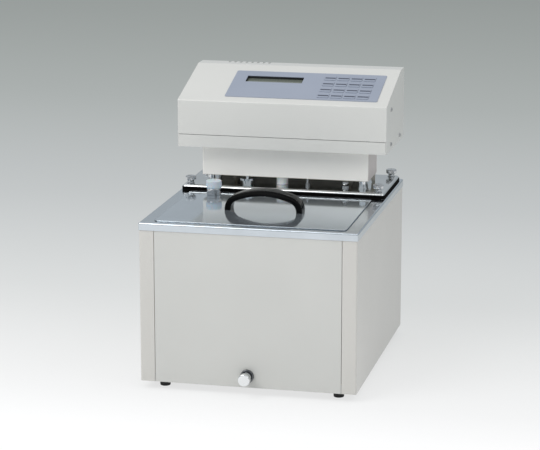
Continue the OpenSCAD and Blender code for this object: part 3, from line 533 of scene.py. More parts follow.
@dataclass(frozen=True)
class HeatTint(Finish):
    """Heater sheath, dulled and tinted by heat along its length.

    Attributes:
        tint: The linear colour of its hot patches.
    """

    tint: Colour

    def build(self, graph: NodeGraph) -> None:
        """Lays the sheath's nodes.

        Args:
            graph: The material's nodes.
        """
        place = graph.coordinates((1.0, 1.0, 0.35))
        patches = graph.noise(place, 40.0, 5.0, 0.6)
        fine = graph.noise(place, 1500.0)
        graph.surface(
            Metallic=1.0,
            Base_Color=graph.blend(graph.spread(patches, 0.0, 1.0), self.colour, self.tint),
            Roughness=graph.spread(patches, 0.28, 0.5),
            Normal=graph.bump(fine, 0.15, 0.00004),
        )


@dataclass(frozen=True)
class PaleFloor(Finish):
    """A floor that fades to grey, and glows only for the rays that show it.

    Attributes:
        front: Depth behind the object up to which it keeps its own colour, in metres.
        tones: Further depths, and its linear colour there.
        glow: The share of the floor's colour that doesn't depend on the light.
        near: Where the floor's tones start, in metres.
        far: Where they end.
    """

    front: float = -0.39
    tones: Tones = (
        (-0.21, srgb(247, 247, 247)),
        (0.38, srgb(220, 222, 221)),
        (1.20, srgb(196, 199, 200)),
        (2.46, srgb(174, 179, 177)),
        (4.46, srgb(153, 158, 156)),
        (5.40, srgb(153, 158, 156)),
        (39.0, srgb(163, 170, 175)),
    )
    glow: float = 0.78
    near: float = -1.0
    far: float = 39.0

    def build(self, graph: NodeGraph) -> None:
        """Lays the floor's nodes.

        Args:
            graph: The material's nodes.
        """
        depth = graph.part(graph.place("Object"), "Y")
        along = graph.spread(depth, 0.0, 1.0, self.near, self.far)
        tones = ((self.front, self.colour), *self.tones)
        span = self.far - self.near
        stops = [((tone[0] - self.near) / span, tone[1]) for tone in tones]
        colour = graph.ramp(along, stops, "B_SPLINE")
        glow = graph.add("ShaderNodeEmission", {"Color": colour, "Strength": 1.0})
        matte = graph.add("ShaderNodeBsdfDiffuse", {"Color": colour})
        rays = graph.add("ShaderNodeLightPath").outputs
        shown = graph.reckon("MAXIMUM", rays["Is Camera Ray"], rays["Is Glossy Ray"])
        shown = graph.reckon("MAXIMUM", shown, rays["Is Transmission Ray"])
        inputs = {
            "Fac": graph.reckon("MULTIPLY", shown, self.glow),
            1: matte.outputs["BSDF"],
            2: glow.outputs["Emission"],
        }
        graph.show(graph.add("ShaderNodeMixShader", inputs).outputs["Shader"])


class Finishes:
    """The finishes of this bath."""

    CASE = Enamel("enamel_case", srgb(201, 200, 195))
    # Painted light: the case's enamel made a little warmer for the light on the sides.
    SIDE = Enamel("enamel_side_painted_light", srgb(203, 200, 194))
    HEAD = Enamel("enamel_head", srgb(209, 208, 203), rough=0.34)
    # Painted light: the neck's enamel is lighter than the head's, for the shade under the head.
    NECK = Enamel(
        "enamel_neck_painted_light_and_shade",
        srgb(249, 245, 238),
        # Painted shade under the neck and on its sides.
        shade_below=0.2968,
        under_shade=srgb(196, 192, 182),
        side_shade_from=0.1413,
        side=srgb(198, 189, 186),
    )
    DECK = Steel("steel_deck", srgb(205, 212, 218), rough=0.14)
    LID = Steel("steel_lid", srgb(197, 206, 213), rough=0.06, smudge=0.03, haze=0.16)
    TANK = Steel("steel_tank", srgb(196, 198, 198), rough=0.3, grain=Grain.ALONG_Z, scratch=0.12)
    BRIDGE = Steel("steel_bridge", srgb(214, 216, 216), rough=0.08)
    MACHINED = Steel(
        "steel_machined", srgb(196, 197, 197), rough=0.2, grain=Grain.ALONG_Z, scratch=0.1
    )
    PLATED = Steel(
        "plated_bright", srgb(241, 243, 244), rough=0.08, grain=Grain.TURNED, scratch=0.03
    )
    DEEP = Steel("plated_deep", srgb(198, 200, 202), rough=0.08, grain=Grain.TURNED, scratch=0.03)
    # Painted shade: chrome darkened for the black shade and dark reflection round the drain knob.
    NUT_PAINTED_SHADE = Steel("plated_nut_painted_shade", srgb(104, 106, 109), rough=0.1, grain=Grain.TURNED, scratch=0.03)
    ZINC = Steel("plated_zinc", srgb(170, 171, 172), rough=0.32, grain=Grain.TURNED, scratch=0.1)
    CAST = Steel("cast_case", srgb(168, 170, 172), rough=0.48, grain=Grain.TURNED, scratch=0.4)
    HANDLE = Moulded("phenolic_black", srgb(1, 1, 1), rough=0.1, grit=300.0, bump=0.02, shine=0.1)
    BLACK = Moulded("moulded_black", srgb(26, 26, 28), rough=0.42)
    ROCKER = Moulded("rocker_black", srgb(22, 22, 24), rough=0.25, bump=0.04, coat=0.3)
    RUBBER = Moulded("rubber_black", srgb(24, 24, 24), rough=0.75, grit=1400.0, bump=0.3)
    # Near-black rubber for the bridge's seal and for the painted shadow strips by the lid and
    # bridge.
    SEAL_AND_SHADOW = Moulded("seal_and_shadow_black", srgb(3, 2, 2), rough=0.9, grit=1400.0, bump=0.2, shine=0.05)
    PTFE = Moulded("fluoropolymer", srgb(248, 250, 249), rough=0.38, bump=0.06, glow=0.3)
    STOPPER = Moulded(
        "stopper_milky", srgb(188, 198, 205), rough=0.3, grit=200.0, bump=0.08, glow=0.35
    )
    FILM = PrintedFilm("film_panel", srgb(149, 156, 171), srgb(142, 150, 165))
    KEY = PrintedFilm("film_key", srgb(149, 156, 171), srgb(142, 150, 165))
    INK = Moulded("ink_mark", srgb(62, 68, 84), rough=0.5, grit=2000.0, bump=0.03)
    DISPLAY = DisplayCells("display_cells", srgb(109, 114, 105), srgb(102, 107, 98))
    WOOL = MineralWool("wool_slab", srgb(226, 218, 172))
    BOARD = CircuitBoard("board_green", srgb(40, 92, 58))
    SHEATH = HeatTint("sheath_tinted", srgb(150, 146, 138), srgb(112, 98, 84))


NODE_FINISH: dict[str, Finish] = {
    name: finish
    for finish, names in (
        (Finishes.SIDE, ("side_panel_left", "side_panel_right")),
        (Finishes.CASE, ("front_panel", "rear_panel")),
        (Finishes.TANK, ("bath_tank", "pump_housing")),
        (Finishes.WOOL, ("tank_insulation",)),
        (Finishes.DECK, ("deck_plate",)),
        (Finishes.BRIDGE, ("bridge_plate",)),
        (Finishes.PLATED, ("support_posts", "overheat_probe")),
        (Finishes.NECK, ("neck_shroud",)),
        (Finishes.HEAD, ("head_chassis", "head_cover")),
        (Finishes.FILM, ("control_panel",)),
        (Finishes.BLACK, ("lcd_bezel", "inlet_module")),
        (Finishes.DISPLAY, ("lcd_window",)),
        (Finishes.BOARD, ("display_board", "control_board")),
        (Finishes.CAST, ("pump_motor",)),
        (Finishes.PTFE, ("shaft_coupling",)),
        (Finishes.MACHINED, ("drain_pipe", "pump_shaft", "impeller")),
        (Finishes.MACHINED, ("temperature_probe", "level_probe")),
        (Finishes.SHEATH, ("heater_element",)),
        (Finishes.ROCKER, ("power_rocker",)),
    )
    for name in names
}


class Form:
    """A mesh under construction, in metres, made of loops of points."""

    def __init__(self) -> None:
        """Starts an empty mesh."""
        self.bm = bmesh.new()

    def loop(self, points: Points) -> Loop:
        """Adds one closed loop of points.

        Args:
            points: The points, in metres.

        Returns:
            The loop's vertices.
        """
        made = [self.bm.verts.new(tuple(point)) for point in points]
        for pair in zip(made, made[1:] + made[:1]):
            self.bm.edges.new(pair)
        return made

    def edges(self, loop: Loop) -> list[bmesh.types.BMEdge]:
        """Finds a loop's edges."""
        return [self.bm.edges.get(pair) for pair in zip(loop, loop[1:] + loop[:1])]

    def grow(self, loop: Loop, points: Points) -> Loop:
        """Extrudes a loop to its next place.

        Args:
            loop: The loop.
            points: Where its vertices go, in metres.

        Returns:
            The new loop.
        """
        made = bmesh.ops.extrude_edge_only(self.bm, edges=self.edges(loop))["geom"]
        fresh = {item for item in made if isinstance(item, bmesh.types.BMVert)}
        after = []
        for vert, point in zip(loop, points):
            ends = (edge.other_vert(vert) for edge in vert.link_edges)
            tip = next(end for end in ends if end in fresh)
            tip.co = point
            after.append(tip)
        return after

    def fill(self, *loops: Loop) -> None:
        """Closes a flat loop, round the holes in it if there are any.

        Args:
            *loops: The outer loop and the holes' loops.
        """
        edges = [edge for loop in loops for edge in self.edges(loop)]
        if len(loops) == 1:
            bmesh.ops.edgeloop_fill(self.bm, edges=edges)
        else:
            bmesh.ops.triangle_fill(self.bm, use_beauty=True, edges=edges)

    def tube(self, rings: Sequence[Points], ends: bool = True) -> tuple[Loop, Loop]:
        """Extrudes a loop through a row of places.

        Args:
            rings: The loops' points, in order.
            ends: Whether both ends are closed.

        Returns:
            The first loop and the last.
        """
        first = last = self.loop(rings[0])
        for points in rings[1:]:
            last = self.grow(last, points)
        if ends:
            self.fill(first)
            self.fill(last)
        return first, last

    def ring(self, rings: Sequence[Points]) -> None:
        """Makes a skin that closes on itself."""
        self.tube([*rings, rings[0]], ends=False)

    def turn(self, profile: Profile, count: int, matrix: Matrix) -> None:
        """Spins a profile about the z axis.

        Args:
            profile: Radius and height of each point, in mm. One that doesn't end where it
                starts is closed at the axis.
            count: Steps round the axis.
            matrix: Takes millimetres about the z axis to metres in the row frame.
        """
        before = set(self.bm.verts)
        if profile[0] != profile[-1]:
            profile = [(0.0, profile[0][1]), *profile, (0.0, profile[-1][1])]
        wire = [self.bm.verts.new((radius, 0.0, height)) for radius, height in profile]
        bmesh.ops.spin(
            self.bm,
            geom=wire + [self.bm.edges.new(pair) for pair in zip(wire, wire[1:])],
            cent=(0.0, 0.0, 0.0),
            axis=(0.0, 0.0, 1.0),
            angle=2 * math.pi,
            steps=count,
            use_merge=True,
        )
        made = [vert for vert in self.bm.verts if vert not in before]
        bmesh.ops.transform(self.bm, matrix=matrix, verts=made)

    def finish(self, name: str, finish: Finish, smooth: float) -> bpy.types.Object:
        """Makes the object.

        Args:
            name: The object's name.
            finish: Its finish.
            smooth: Edges sharper than this, in degrees, stay sharp.

        Returns:
            The object, at the origin.
        """
        bmesh.ops.remove_doubles(self.bm, verts=self.bm.verts[:], dist=MERGE)
        bmesh.ops.recalc_face_normals(self.bm, faces=self.bm.faces[:])
        mesh = bpy.data.meshes.new(name)
        self.bm.to_mesh(mesh)
        self.bm.free()
        mesh.polygons.foreach_set("use_smooth", [True] * len(mesh.polygons))
        mesh.set_sharp_from_angle(angle=math.radians(smooth))
        mesh.materials.append(finish.material())
        piece = bpy.data.objects.new(name, mesh)
        bpy.context.scene.collection.objects.link(piece)
        LOG.info("piece %s: %d faces", name, len(mesh.polygons))
        return piece


def rounded_loop(
    width: float, depth: float, radius: float, steps: int, place: Callable[[float, float], Vector]
) -> list[Vector]:
    """Makes a rectangle with round corners.

    Args:
        width: Its width, in mm.
        depth: Its depth, in mm.
        radius: Its corners' radius, in mm.
        steps: Segments in a corner.
        place: Turns a point of the outline into a point in space.

    Returns:
        The loop's points.
    """
    points = []
    for corner in range(4):
        cx = (width / 2 - radius) * (1 if corner in (0, 3) else -1)
        cy = (depth / 2 - radius) * (1 if corner in (0, 1) else -1)
        for step in range(steps + 1):
            angle = math.radians(90 * corner + 90 * step / steps)
            points.append(place(cx + radius * math.cos(angle), cy + radius * math.sin(angle)))
    return points


def round_loop(
    radius: float, height: float, count: int, flutes: int = 0, depth: float = 0.0
) -> list[Vector]:
    """Makes a circle about the z axis, plain or fluted.

    Args:
        radius: Its radius, in mm.
        height: Its height, in mm.
        count: How many points it has.
        flutes: How many flutes run round it.
        depth: How deep the flutes are, in mm.

    Returns:
        The loop's points, in mm.
    """
    points = []
    for index in range(count):
        angle = 2 * math.pi * index / count
        reach = radius - depth * (0.5 - 0.5 * math.cos(flutes * angle))
        points.append(Vector((reach * math.cos(angle), reach * math.sin(angle), height)))
    return points


def arc(centre: Pair, radius: float, start: float, stop: float, steps: int) -> list[Pair]:
    """Makes the points of an arc.

    Args:
        centre: Its middle, across and up.
        radius: Its radius.
        start: Its first angle, in degrees.
        stop: Its last angle, in degrees.
        steps: Its segments.

    Returns:
        Across and up for each point.
    """
    points = []
    for step in range(steps + 1):
        angle = math.radians(start + (stop - start) * step / steps)
        points.append((centre[0] + radius * math.cos(angle), centre[1] + radius * math.sin(angle)))
    return points


def standing(spot: Vector, turn: Matrix = Matrix.Identity(4)) -> Matrix:
    """Takes a turning's millimetres to a spot in the row frame, its axis up or turned."""
    return Matrix.Translation(spot) @ turn @ Matrix.Scale(MM, 4)


@dataclass(frozen=True)
class Turning:
    """A turned or moulded round piece.

    Attributes:
        profile: Radius and height of each loop, and its flutes' depth if it has any, in mm.
        count: Points round it.
        flutes: Flutes round it.
    """

    profile: Profile
    count: int = 96
    flutes: int = 0

    def cut(self, form: Form, matrix: Matrix) -> None:
        """Adds the piece to a mesh.

        Args:
            form: The mesh.
            matrix: Takes millimetres about the z axis to metres in the row frame.
        """
        if not self.flutes:
            form.turn(self.profile, self.count, matrix)
            return
        rings = [
            round_loop(radius, height, self.count, self.flutes, *depth)
            for radius, height, *depth in self.profile
        ]
        form.tube([[matrix @ point for point in ring] for ring in rings])


@dataclass(frozen=True)
class Outline:
    """A level rectangle with round corners, over or under the deck.

    Attributes:
        width: Its width, in mm.
        depth: Its depth, front to rear, in mm.
        corner: Its corners' radius, in mm.
        middle: Its middle, in mm behind the cabinet's face.
        steps: Segments in a corner.
    """

    width: float
    depth: float
    corner: float
    middle: float
    steps: int

    def rings(self, *places: Pair) -> list[list[Vector]]:
        """Makes its loops, each inset by so many mm at a height over the deck."""
        return [
            rounded_loop(
                self.width - 2 * inset,
                self.depth - 2 * inset,
                self.corner - inset,
                self.steps,
                lambda x, y: DATUM.at(x, self.middle + y, HEIGHT.deck + height),
            )
            for inset, height in places
        ]


class Assembly(ABC):
    """A group of pieces that belong together."""

    def add(
        self, form: Form, name: str, finish: Finish, body: Body | str, slot: str,
        *stands_for: str, smooth: float = 40.0,
    ) -> None:
        """Makes a piece and fastens it to a body of the frame.

        Args:
            form: The piece's mesh.
            name: The piece's name.
            finish: Its finish.
            body: The body, or its name.
            slot: The record's material slot; not used.
            *stands_for: CAD nodes that it replaces.
            smooth: Edges sharper than this, in degrees, stay sharp.
        """
        piece = form.finish(name, finish, smooth)
        body = body.value if isinstance(body, Body) else body
        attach(piece, body)
        if stands_for:
            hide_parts(*stands_for)
        LOG.info("%s rides on %s", name, body)

    @abstractmethod
    def build(self) -> None:
        """Makes the group's pieces."""


@dataclass
class Lid(Assembly):
    """The polished lid with its rounded edge, drip rim and a strip of painted shadow round it.

    Attributes:
        sheet: The sheet's outline.
        thick: The sheet's thickness, in mm.
        edge: Radius of its top edge.
        rim: The outline of the drip rim under it.
        drop: How far the rim reaches down.
        wall: The rim's thickness.
        turned: The rounding of the rim's lower edge.
        band: Width of the flat band inside the rounded edge.
        round_steps: Segments of the top edge's rounding.
        hole_count: Points round the port's hole.
    """

    sheet: Outline = Outline(309.0, 228.5, 8.0, 127.75, 10)
    thick: float = 1.6
    edge: float = 0.9
    rim: Outline = Outline(261.6, 189.8, 30.0, 138.1, 12)
    drop: float = 7.0
    wall: float = 1.2
    turned: float = 0.3
    band: float = 0.6
    round_steps: int = 6
    hole_count: int = 64

    def build(self) -> None:
        """Makes the sheet with its rim, and the strip of painted shadow round its edge."""
        form = Form()
        places = [(0.5, 0.0), (0.15, 0.15), (0.0, 0.5)]
        for step in range(self.round_steps + 1):
            angle = math.radians(90 * step / self.round_steps)
            inset = self.edge * (1 - math.cos(angle))
            places.append((inset, self.thick - self.edge * (1 - math.sin(angle))))
        places.append((self.edge + self.band, self.thick))
        under, top = form.tube(self.sheet.rings(*places), ends=False)
        low, high = form.tube([self.hole(0.0), self.hole(self.thick)], ends=False)
        form.fill(under, low)
        form.fill(top, high)
        foot = self.turned - self.drop
        lower = ((self.turned, -self.drop), (self.wall - self.turned, -self.drop))
        section = ((0.0, 0.0), (0.0, foot), *lower, (self.wall, foot), (self.wall, 0.0))
        form.ring(self.rim.rings(*section))
        self.add(form, "lid_sheet", Finishes.LID, Body.LID, "steel", "lid_panel", smooth=50.0)
        # Painted shadow: a black bead round the lid's edge for the shadow gap between lid and deck.
        form = Form()
        bead = ((0.05, 0.5), (-0.25, 0.55), (-0.35, 0.75), (-0.25, 0.95), (0.05, 1.0))
        form.ring(self.sheet.rings(*bead))
        self.add(form, "lid_shadow_strip", Finishes.SEAL_AND_SHADOW, Body.LID, "black_matte")

    def hole(self, height: float) -> list[Vector]:
        """Makes the edge of the port's hole at a height over the deck."""
        ring = round_loop(Port.hole, 0.0, self.hole_count)
        return [DATUM.at(Port.x + spot.x, Port.y + spot.y, HEIGHT.deck + height) for spot in ring]


@dataclass
class BowHandle(Assembly):
    """The lid's black bow, swept along legs, shoulders and crown with round edges.

    Attributes:
        width: Its width outside the legs, in mm.
        height: Its height above the lid.
        thick: Its thickness.
        depth: Its depth, front to rear.
        shoulder: Radius of its shoulders.
        place: Its middle, behind the cabinet's face.
        rounding: Radius of its section's corners.
        lean: Run and rise of the line on which the shoulder's arc meets the crown's.
        shoulder_steps: Segments of a shoulder.
        crown_steps: Segments of the crown.
        corner_steps: Segments of a corner of the section.
    """

    width: float = 127.6
    height: float = 34.5
    thick: float = 10.0
    depth: float = 26.0
    shoulder: float = 20.0
    place: float = 123.0
    rounding: float = 2.2
    lean: Pair = (5.0, 12.0)
    shoulder_steps: int = 14
    crown_steps: int = 32
    corner_steps: int = 7

    def bend(
        self, middle: Pair, radius: float, start: float, stop: float, steps: int
    ) -> list[Point]:
        """Makes the stations of an arc, from one angle to another."""
        spots = arc(middle, radius, start, stop, steps)
        return [(*spot, start + (stop - start) * step / steps) for step, spot in enumerate(spots)]

    def path(self) -> list[Point]:
        """Finds the middle line of the bow.

        Returns:
            Across, up and the direction's angle in degrees, for each station.
        """
        run, climb = self.lean
        half = (self.width - self.thick) / 2
        over = half - self.shoulder
        crown = self.shoulder + math.hypot(run, climb) / run * over
        rise = self.height - self.thick / 2
        leg = rise - crown + climb / run * over
        turn = math.degrees(math.atan2(climb, run))
        stations = [(half, 0.0, 0.0), (half, leg * 0.5, 0.0)]
        stations += self.bend((over, leg), self.shoulder, 0.0, turn, self.shoulder_steps)
        mirrored = [(-x, z, 180 - angle) for x, z, angle in reversed(stations)]
        top = self.bend((0.0, rise - crown), crown, turn, 180 - turn, self.crown_steps)
        return stations + top[1:-1] + mirrored

    def section(self, station: Point) -> list[Vector]:
        """Makes the section at one station.

        Args:
            station: Across, up and the direction's angle.

        Returns:
            The section's points.
        """
        x, z, angle = station
        out = Vector((math.cos(math.radians(angle)), math.sin(math.radians(angle))))
        return rounded_loop(
            self.thick,
            self.depth,
            self.rounding,
            self.corner_steps,
            lambda across, along: DATUM.at(
                x + out.x * across, self.place + along, HEIGHT.lid + z + out.y * across
            ),
        )

    def build(self) -> None:
        """Makes the bow."""
        form = Form()
        form.tube([self.section(station) for station in self.path()])
        self.add(form, "handle_bow", Finishes.HANDLE, Body.LID, "black", "lid_handle", smooth=60.0)


@dataclass
class Port(Assembly):
    """The thermometer port: collar, nut and stopper.

    Attributes:
        x: Its distance from the middle, in mm.
        y: Its distance behind the cabinet's face.
        hole: Radius of the lid's hole.
        seat: Height of the stopper's flange over the lid.
        collar: The collar through the lid.
        nut: The six-sided nut under the lid.
        plug: The milky stopper with its ridges.
    """

    x: float = -108.5
    y: float = 219.0
    hole: float = 9.6
    seat: float = 11.5
    collar: Turning = Turning(
        (
            (7.5, -5.0), (9.5, -5.0), (9.5, 0.0), (11.4, 0.0), (12.0, 0.6), (12.0, 3.6),
            (11.4, 4.1), (11.4, 4.7), (12.0, 5.2), *arc((10.9, 10.2), 1.1, 0, 90, 5),
            (8.1, 11.3), (7.5, 10.8), (7.5, -5.0),
        )
    )
    nut: Turning = Turning(
        ((7.6, -5.0), (10.1, -5.0), (10.5, -4.6), (10.5, -1.65), (7.6, -1.65), (7.6, -5.0)), 6
    )
    plug: Turning = Turning(
        (
            (6.2, -12.0), (7.42, -10.6), (7.42, 0.0), (12.0, 0.0), (12.4, 0.5), (12.4, 1.6),
            (12.9, 2.3, 0.25), (13.0, 3.4, 0.55), (13.0, 9.6, 0.55), (12.85, 10.8, 0.3),
            *arc((10.9, 11.1), 1.9, 15, 90, 6), (6.0, 12.8),
        ),
        120,
        20,
    )

    def build(self) -> None:
        """Makes the collar with its nut, and the stopper."""
        spot = DATUM.at(self.x, self.y, HEIGHT.lid)
        form = Form()
        self.collar.cut(form, standing(spot))
        self.nut.cut(form, standing(spot))
        self.add(form, "port_ring", Finishes.DEEP, Body.LID, "chrome", "port_collar", smooth=30.0)
        form = Form()
        self.plug.cut(form, standing(spot + Vector((0, 0, self.seat * MM))))
        self.add(form, "stopper_cap", Finishes.STOPPER, Body.STOPPER, "stopper", "port_stopper")


@dataclass
class HandScrews(Assembly):
    """The four knurled screws that hold the bridge on the deck.

    Attributes:
        x: Their distance from the middle, in mm.
        rows: Their distances behind the cabinet's face, front and rear.
        lift: Their height over the bridge plate.
        screw: One of them.
    """

    x: float = 160.0
    rows: Pair = (264.0, 391.0)
    lift: float = 0.2
    screw: Turning = Turning(
        (
            (3.0, -16.5), (3.0, 0.0), (6.2, 0.0), (6.5, 0.3), (6.5, 0.9), (5.5, 1.3), (5.3, 1.8),
            (5.3, 3.3), (6.0, 4.2), (7.7, 5.5), (8.3, 5.8, 0.15), (8.7, 6.3, 0.45),
            (8.7, 11.0, 0.45), (8.3, 11.7, 0.15), (7.8, 12.1), (7.2, 12.25), (5.4, 12.25),
            (4.9, 11.95),
        ),
        168,
        42,
    )

    def build(self) -> None:
        """Makes the four screws."""
        for side, x in (("left", -self.x), ("right", self.x)):
            for row, y in zip(("front", "rear"), self.rows):
                node = f"thumb_screw_{row}_{side}"
                form = Form()
                self.screw.cut(form, standing(DATUM.at(x, y, HEIGHT.bridge + self.lift)))
                name = f"hand_screw_{row}_{side}"
                self.add(form, name, Finishes.DEEP, node, "chrome", node, smooth=28.0)


@dataclass
class DrainOutlet(Assembly):
    """The drain's ring nut and knob on the front panel.

    Attributes:
        height: Its height above the cabinet's underside, in mm.
        nut: The ring nut.
        knob: The fluted knob.
    """

    height: float = 19.0
    nut: Turning = Turning(
        (
            (6.55, 0.0), (10.8, 0.0), *arc((9.8, 4.0), 1.0, 0, 90, 5), (7.6, 5.0), (6.55, 4.6),
            (6.55, 0.0),
        )
    )
    knob: Turning = Turning(
        (
            (6.57, 9.0), (8.0, 9.0), (8.3, 9.3), (8.3, 15.8), (8.9, 16.6), (9.6, 17.0, 0.2),
            (9.9, 17.6, 0.35), (9.9, 23.6, 0.35), (9.6, 24.4, 0.2),
            *arc((8.2, 24.6), 1.4, 20, 90, 5), (7.6, 26.0), (0.8, 26.0),
        ),
        144,
        36,
    )

    def build(self) -> None:
        """Makes the ring and the knob."""
        spot = standing(DATUM.at(0, 0, self.height), Matrix.Rotation(math.radians(90), 4, "X"))
        form = Form()
        self.nut.cut(form, spot)
        self.add(form, "drain_nut", Finishes.NUT_PAINTED_SHADE, Body.CABINET, "chrome", "drain_ring", smooth=30.0)
        form = Form()
        self.knob.cut(form, spot)
        self.add(
            form, "drain_knob", Finishes.PLATED, Body.DRAIN_CAP, "chrome", "drain_cap", smooth=30.0
        )


@dataclass
class Feet(Assembly):
    """Four rubber feet with rounded lips.

    Attributes:
        x: Their distance from the middle, in mm.
        rows: Their distances behind the cabinet's face.
        foot: One of them.
    """

    x: float = 142.0
    rows: Pair = (28.0, 392.0)
    foot: Turning = Turning(
        (
            (2.1, -7.2), (4.2, -7.2), (4.2, -12.4), (4.7, -13.0),
            *arc((7.5, -12.2), 0.8, -90, -10, 4), (9.1, -4.0), (9.4, -3.4), (9.5, -2.6),
            (9.5, -0.5), (9.1, 0.0), (2.1, 0.0),
        ),
        72,
    )

    def build(self) -> None:
        """Makes the feet as one piece."""
        form = Form()
        for x in (-self.x, self.x):
            for y in self.rows:
                self.foot.cut(form, standing(DATUM.at(x, y, 0.0)))
        self.add(form, "feet_rubber", Finishes.RUBBER, Body.CABINET, "rubber", "feet")


@dataclass
class BridgeTrim(Assembly):
    """Black seal round the bridge plate and a black lip, which also paint the shadow under its
    edge.

    Attributes:
        plate: The bridge plate's outline.
        lip: The outline of the lip in front of it, a strip of painted shadow.
    """

    plate: Outline = Outline(344.0, 155.0, 5.2, 327.5, 8)
    lip: Outline = Outline(336.0, 6.9, 1.4, 246.05, 4)

    def build(self) -> None:
        """Makes the seal, partly painted shadow, and the lip of painted shadow."""
        form = Form()
        # Partly a real seal, partly painted shadow under the bridge's rounded edge.
        skirt = ((-0.02, 0.1), (-0.35, 0.2), (-0.45, 0.5), (-0.45, 5.6), (-0.3, 6.0), (-0.02, 6.2))
        form.ring(self.plate.rings(*skirt))
        self.add(form, "bridge_seal_and_shadow", Finishes.SEAL_AND_SHADOW, Body.HEAD, "black_matte")
        # Painted shadow: a black lip in the gap between the lid's rear edge and the bridge.
        form = Form()
        form.tube(self.lip.rings((0.2, 0.1), (0.0, 0.3), (0.0, 1.2), (0.3, 1.5), (0.9, 1.5)))
        self.add(form, "bridge_shadow_lip", Finishes.SEAL_AND_SHADOW, Body.HEAD, "black_matte")


@dataclass
class CoverScrews(Assembly):
    """Pan-head screws in the head's cheeks, their cross recesses painted as dark crosses of shade.

    Attributes:
        face: Distance of the cheeks from the middle, in mm.
        spots: Depth behind the head's front and height over its underside, in mm.
        pan: One screw's head.
        arm: Reach of the recess's arms.
        half: Half an arm's width.
        recess: Heights between which the dark cross of painted shade stands, a hair over the head.
    """

    face: float = 176.0
    spots: tuple[Pair, ...] = ((44.0, 10.0), (128.84, 10.0), (44.0, 68.0))
    pan: Turning = Turning(((3.6, -0.2), (3.6, 0.5), (3.35, 1.1), (2.8, 1.6), (1.9, 1.9)), 48)
    arm: float = 1.7
    half: float = 0.32
    recess: Pair = (1.6, 1.97)

    def build(self) -> None:
        """Makes the six heads as one piece, and the painted shade of their recesses as another."""
        pans, crosses = Form(), Form()
        for side in (-1, 1):
            turn = Matrix.Rotation(math.radians(90 * side), 4, "Y")
            for depth, height in self.spots:
                spot = DATUM.at(side * self.face, HEAD_Y + depth, HEIGHT.head + height)
                self.pan.cut(pans, standing(spot, turn))
                # Painted shade: a flat dark cross over the head stands for the hollow recess.
                self.cross(crosses, standing(spot, turn))
        self.add(pans, "screw_heads", Finishes.ZINC, Body.HEAD, "zinc", "cover_screws", smooth=50.0)
        self.add(crosses, "screw_recess_shade", Finishes.BLACK, Body.HEAD, "zinc")

    def cross(self, form: Form, matrix: Matrix) -> None:
        """Adds the dark cross that paints a recess's shade.

        Args:
            form: The mesh.
            matrix: Takes the screw's own millimetres to the row frame.
        """
        arm, half = self.arm, self.half
        outline = [
            (arm, -half), (arm, half), (half, half), (half, arm), (-half, arm), (-half, half),
            (-arm, half), (-arm, -half), (-half, -half), (-half, -arm), (half, -arm), (half, -half),
        ]
        form.tube([[matrix @ Vector((x, y, z)) for x, y in outline] for z in self.recess])


@dataclass
class KeyMarks(Assembly):
    """Generic marks on the sixteen keys: a slim bar on each, no lettering.

    Attributes:
        middle: The key field's middle on the slope, in mm.
        pitch: The keys' pitch.
        top: Height of the caps over the face.
        side: How many keys a row and a column have.
        bar: Width and length of the bar.
        corner: Radius of its corners.
        corner_steps: Segments of a corner.
        sunk: How far it reaches into the cap.
        proud: How far it stands over the cap.
    """

    middle: Pair = (97.5, 65.6)
    pitch: float = 22.3
    top: float = 1.6
    side: int = 4
    bar: Pair = (17.6, 4.2)
    corner: float = 0.45
    corner_steps: int = 3
    sunk: float = 0.05
    proud: float = 0.03

    def build(self) -> None:
        """Makes a mark for every key."""
        middle = (self.side - 1) / 2
        for row in range(self.side):
            for column in range(self.side):
                u = self.middle[0] + (column - middle) * self.pitch
                v = self.middle[1] - (row - middle) * self.pitch
                node = f"key_r{row + 1}c{column + 1}"
                form = Form()
                heights = (self.top - self.sunk, self.top + self.proud)
                form.tube([self.bar_loop(u, v, out) for out in heights])
                self.add(form, f"mark_{node}", Finishes.INK, node, "film")

    def bar_loop(self, u: float, v: float, out: float) -> list[Vector]:
        """Makes the bar's edge round a point of the slope."""
        return rounded_loop(
            *self.bar, self.corner, self.corner_steps, lambda x, y: on_slope(u + x, v + y, out)
        )


@dataclass
class InletDetails(Assembly):
    """Bright pins of the mains inlet.

    Attributes:
        x: The module's middle, in mm.
        face: Its face, in mm behind the cabinet's front.
        height: Its middle above the cabinet's underside.
        spots: The pins' places from the module's middle, across and up.
        pin: Width and height of a pin.
        corner: Radius of its corners.
        corner_steps: Segments of a corner.
        stations: How much the pin grows, and its depth inside the face, from root to tip.
    """

    x: float = 108.0
    face: float = 413.84
    height: float = 401.0
    spots: tuple[Pair, ...] = ((-7.0, -14.0), (0.0, -8.0), (7.0, -14.0))
    pin: Pair = (2.1, 4.1)
    corner: float = 0.5
    corner_steps: int = 3
    stations: tuple[Pair, ...] = ((0.0, 15.9), (0.0, 4.4), (-0.35, 3.9))

    def build(self) -> None:
        """Makes the pins."""
        form = Form()
        wide, tall = self.pin
        for across, lift in self.spots:
            middle = (self.x + across, self.height + lift)
            rings = [
                rounded_loop(
                    wide + 2 * grow,
                    tall + 2 * grow,
                    self.corner,
                    self.corner_steps,
                    lambda x, z: DATUM.at(middle[0] + x, self.face - deep, middle[1] + z),
                )
                for grow, deep in self.stations
            ]
            form.tube(rings)
        self.add(form, "inlet_pins", Finishes.PLATED, Body.HEAD, "black_matte")


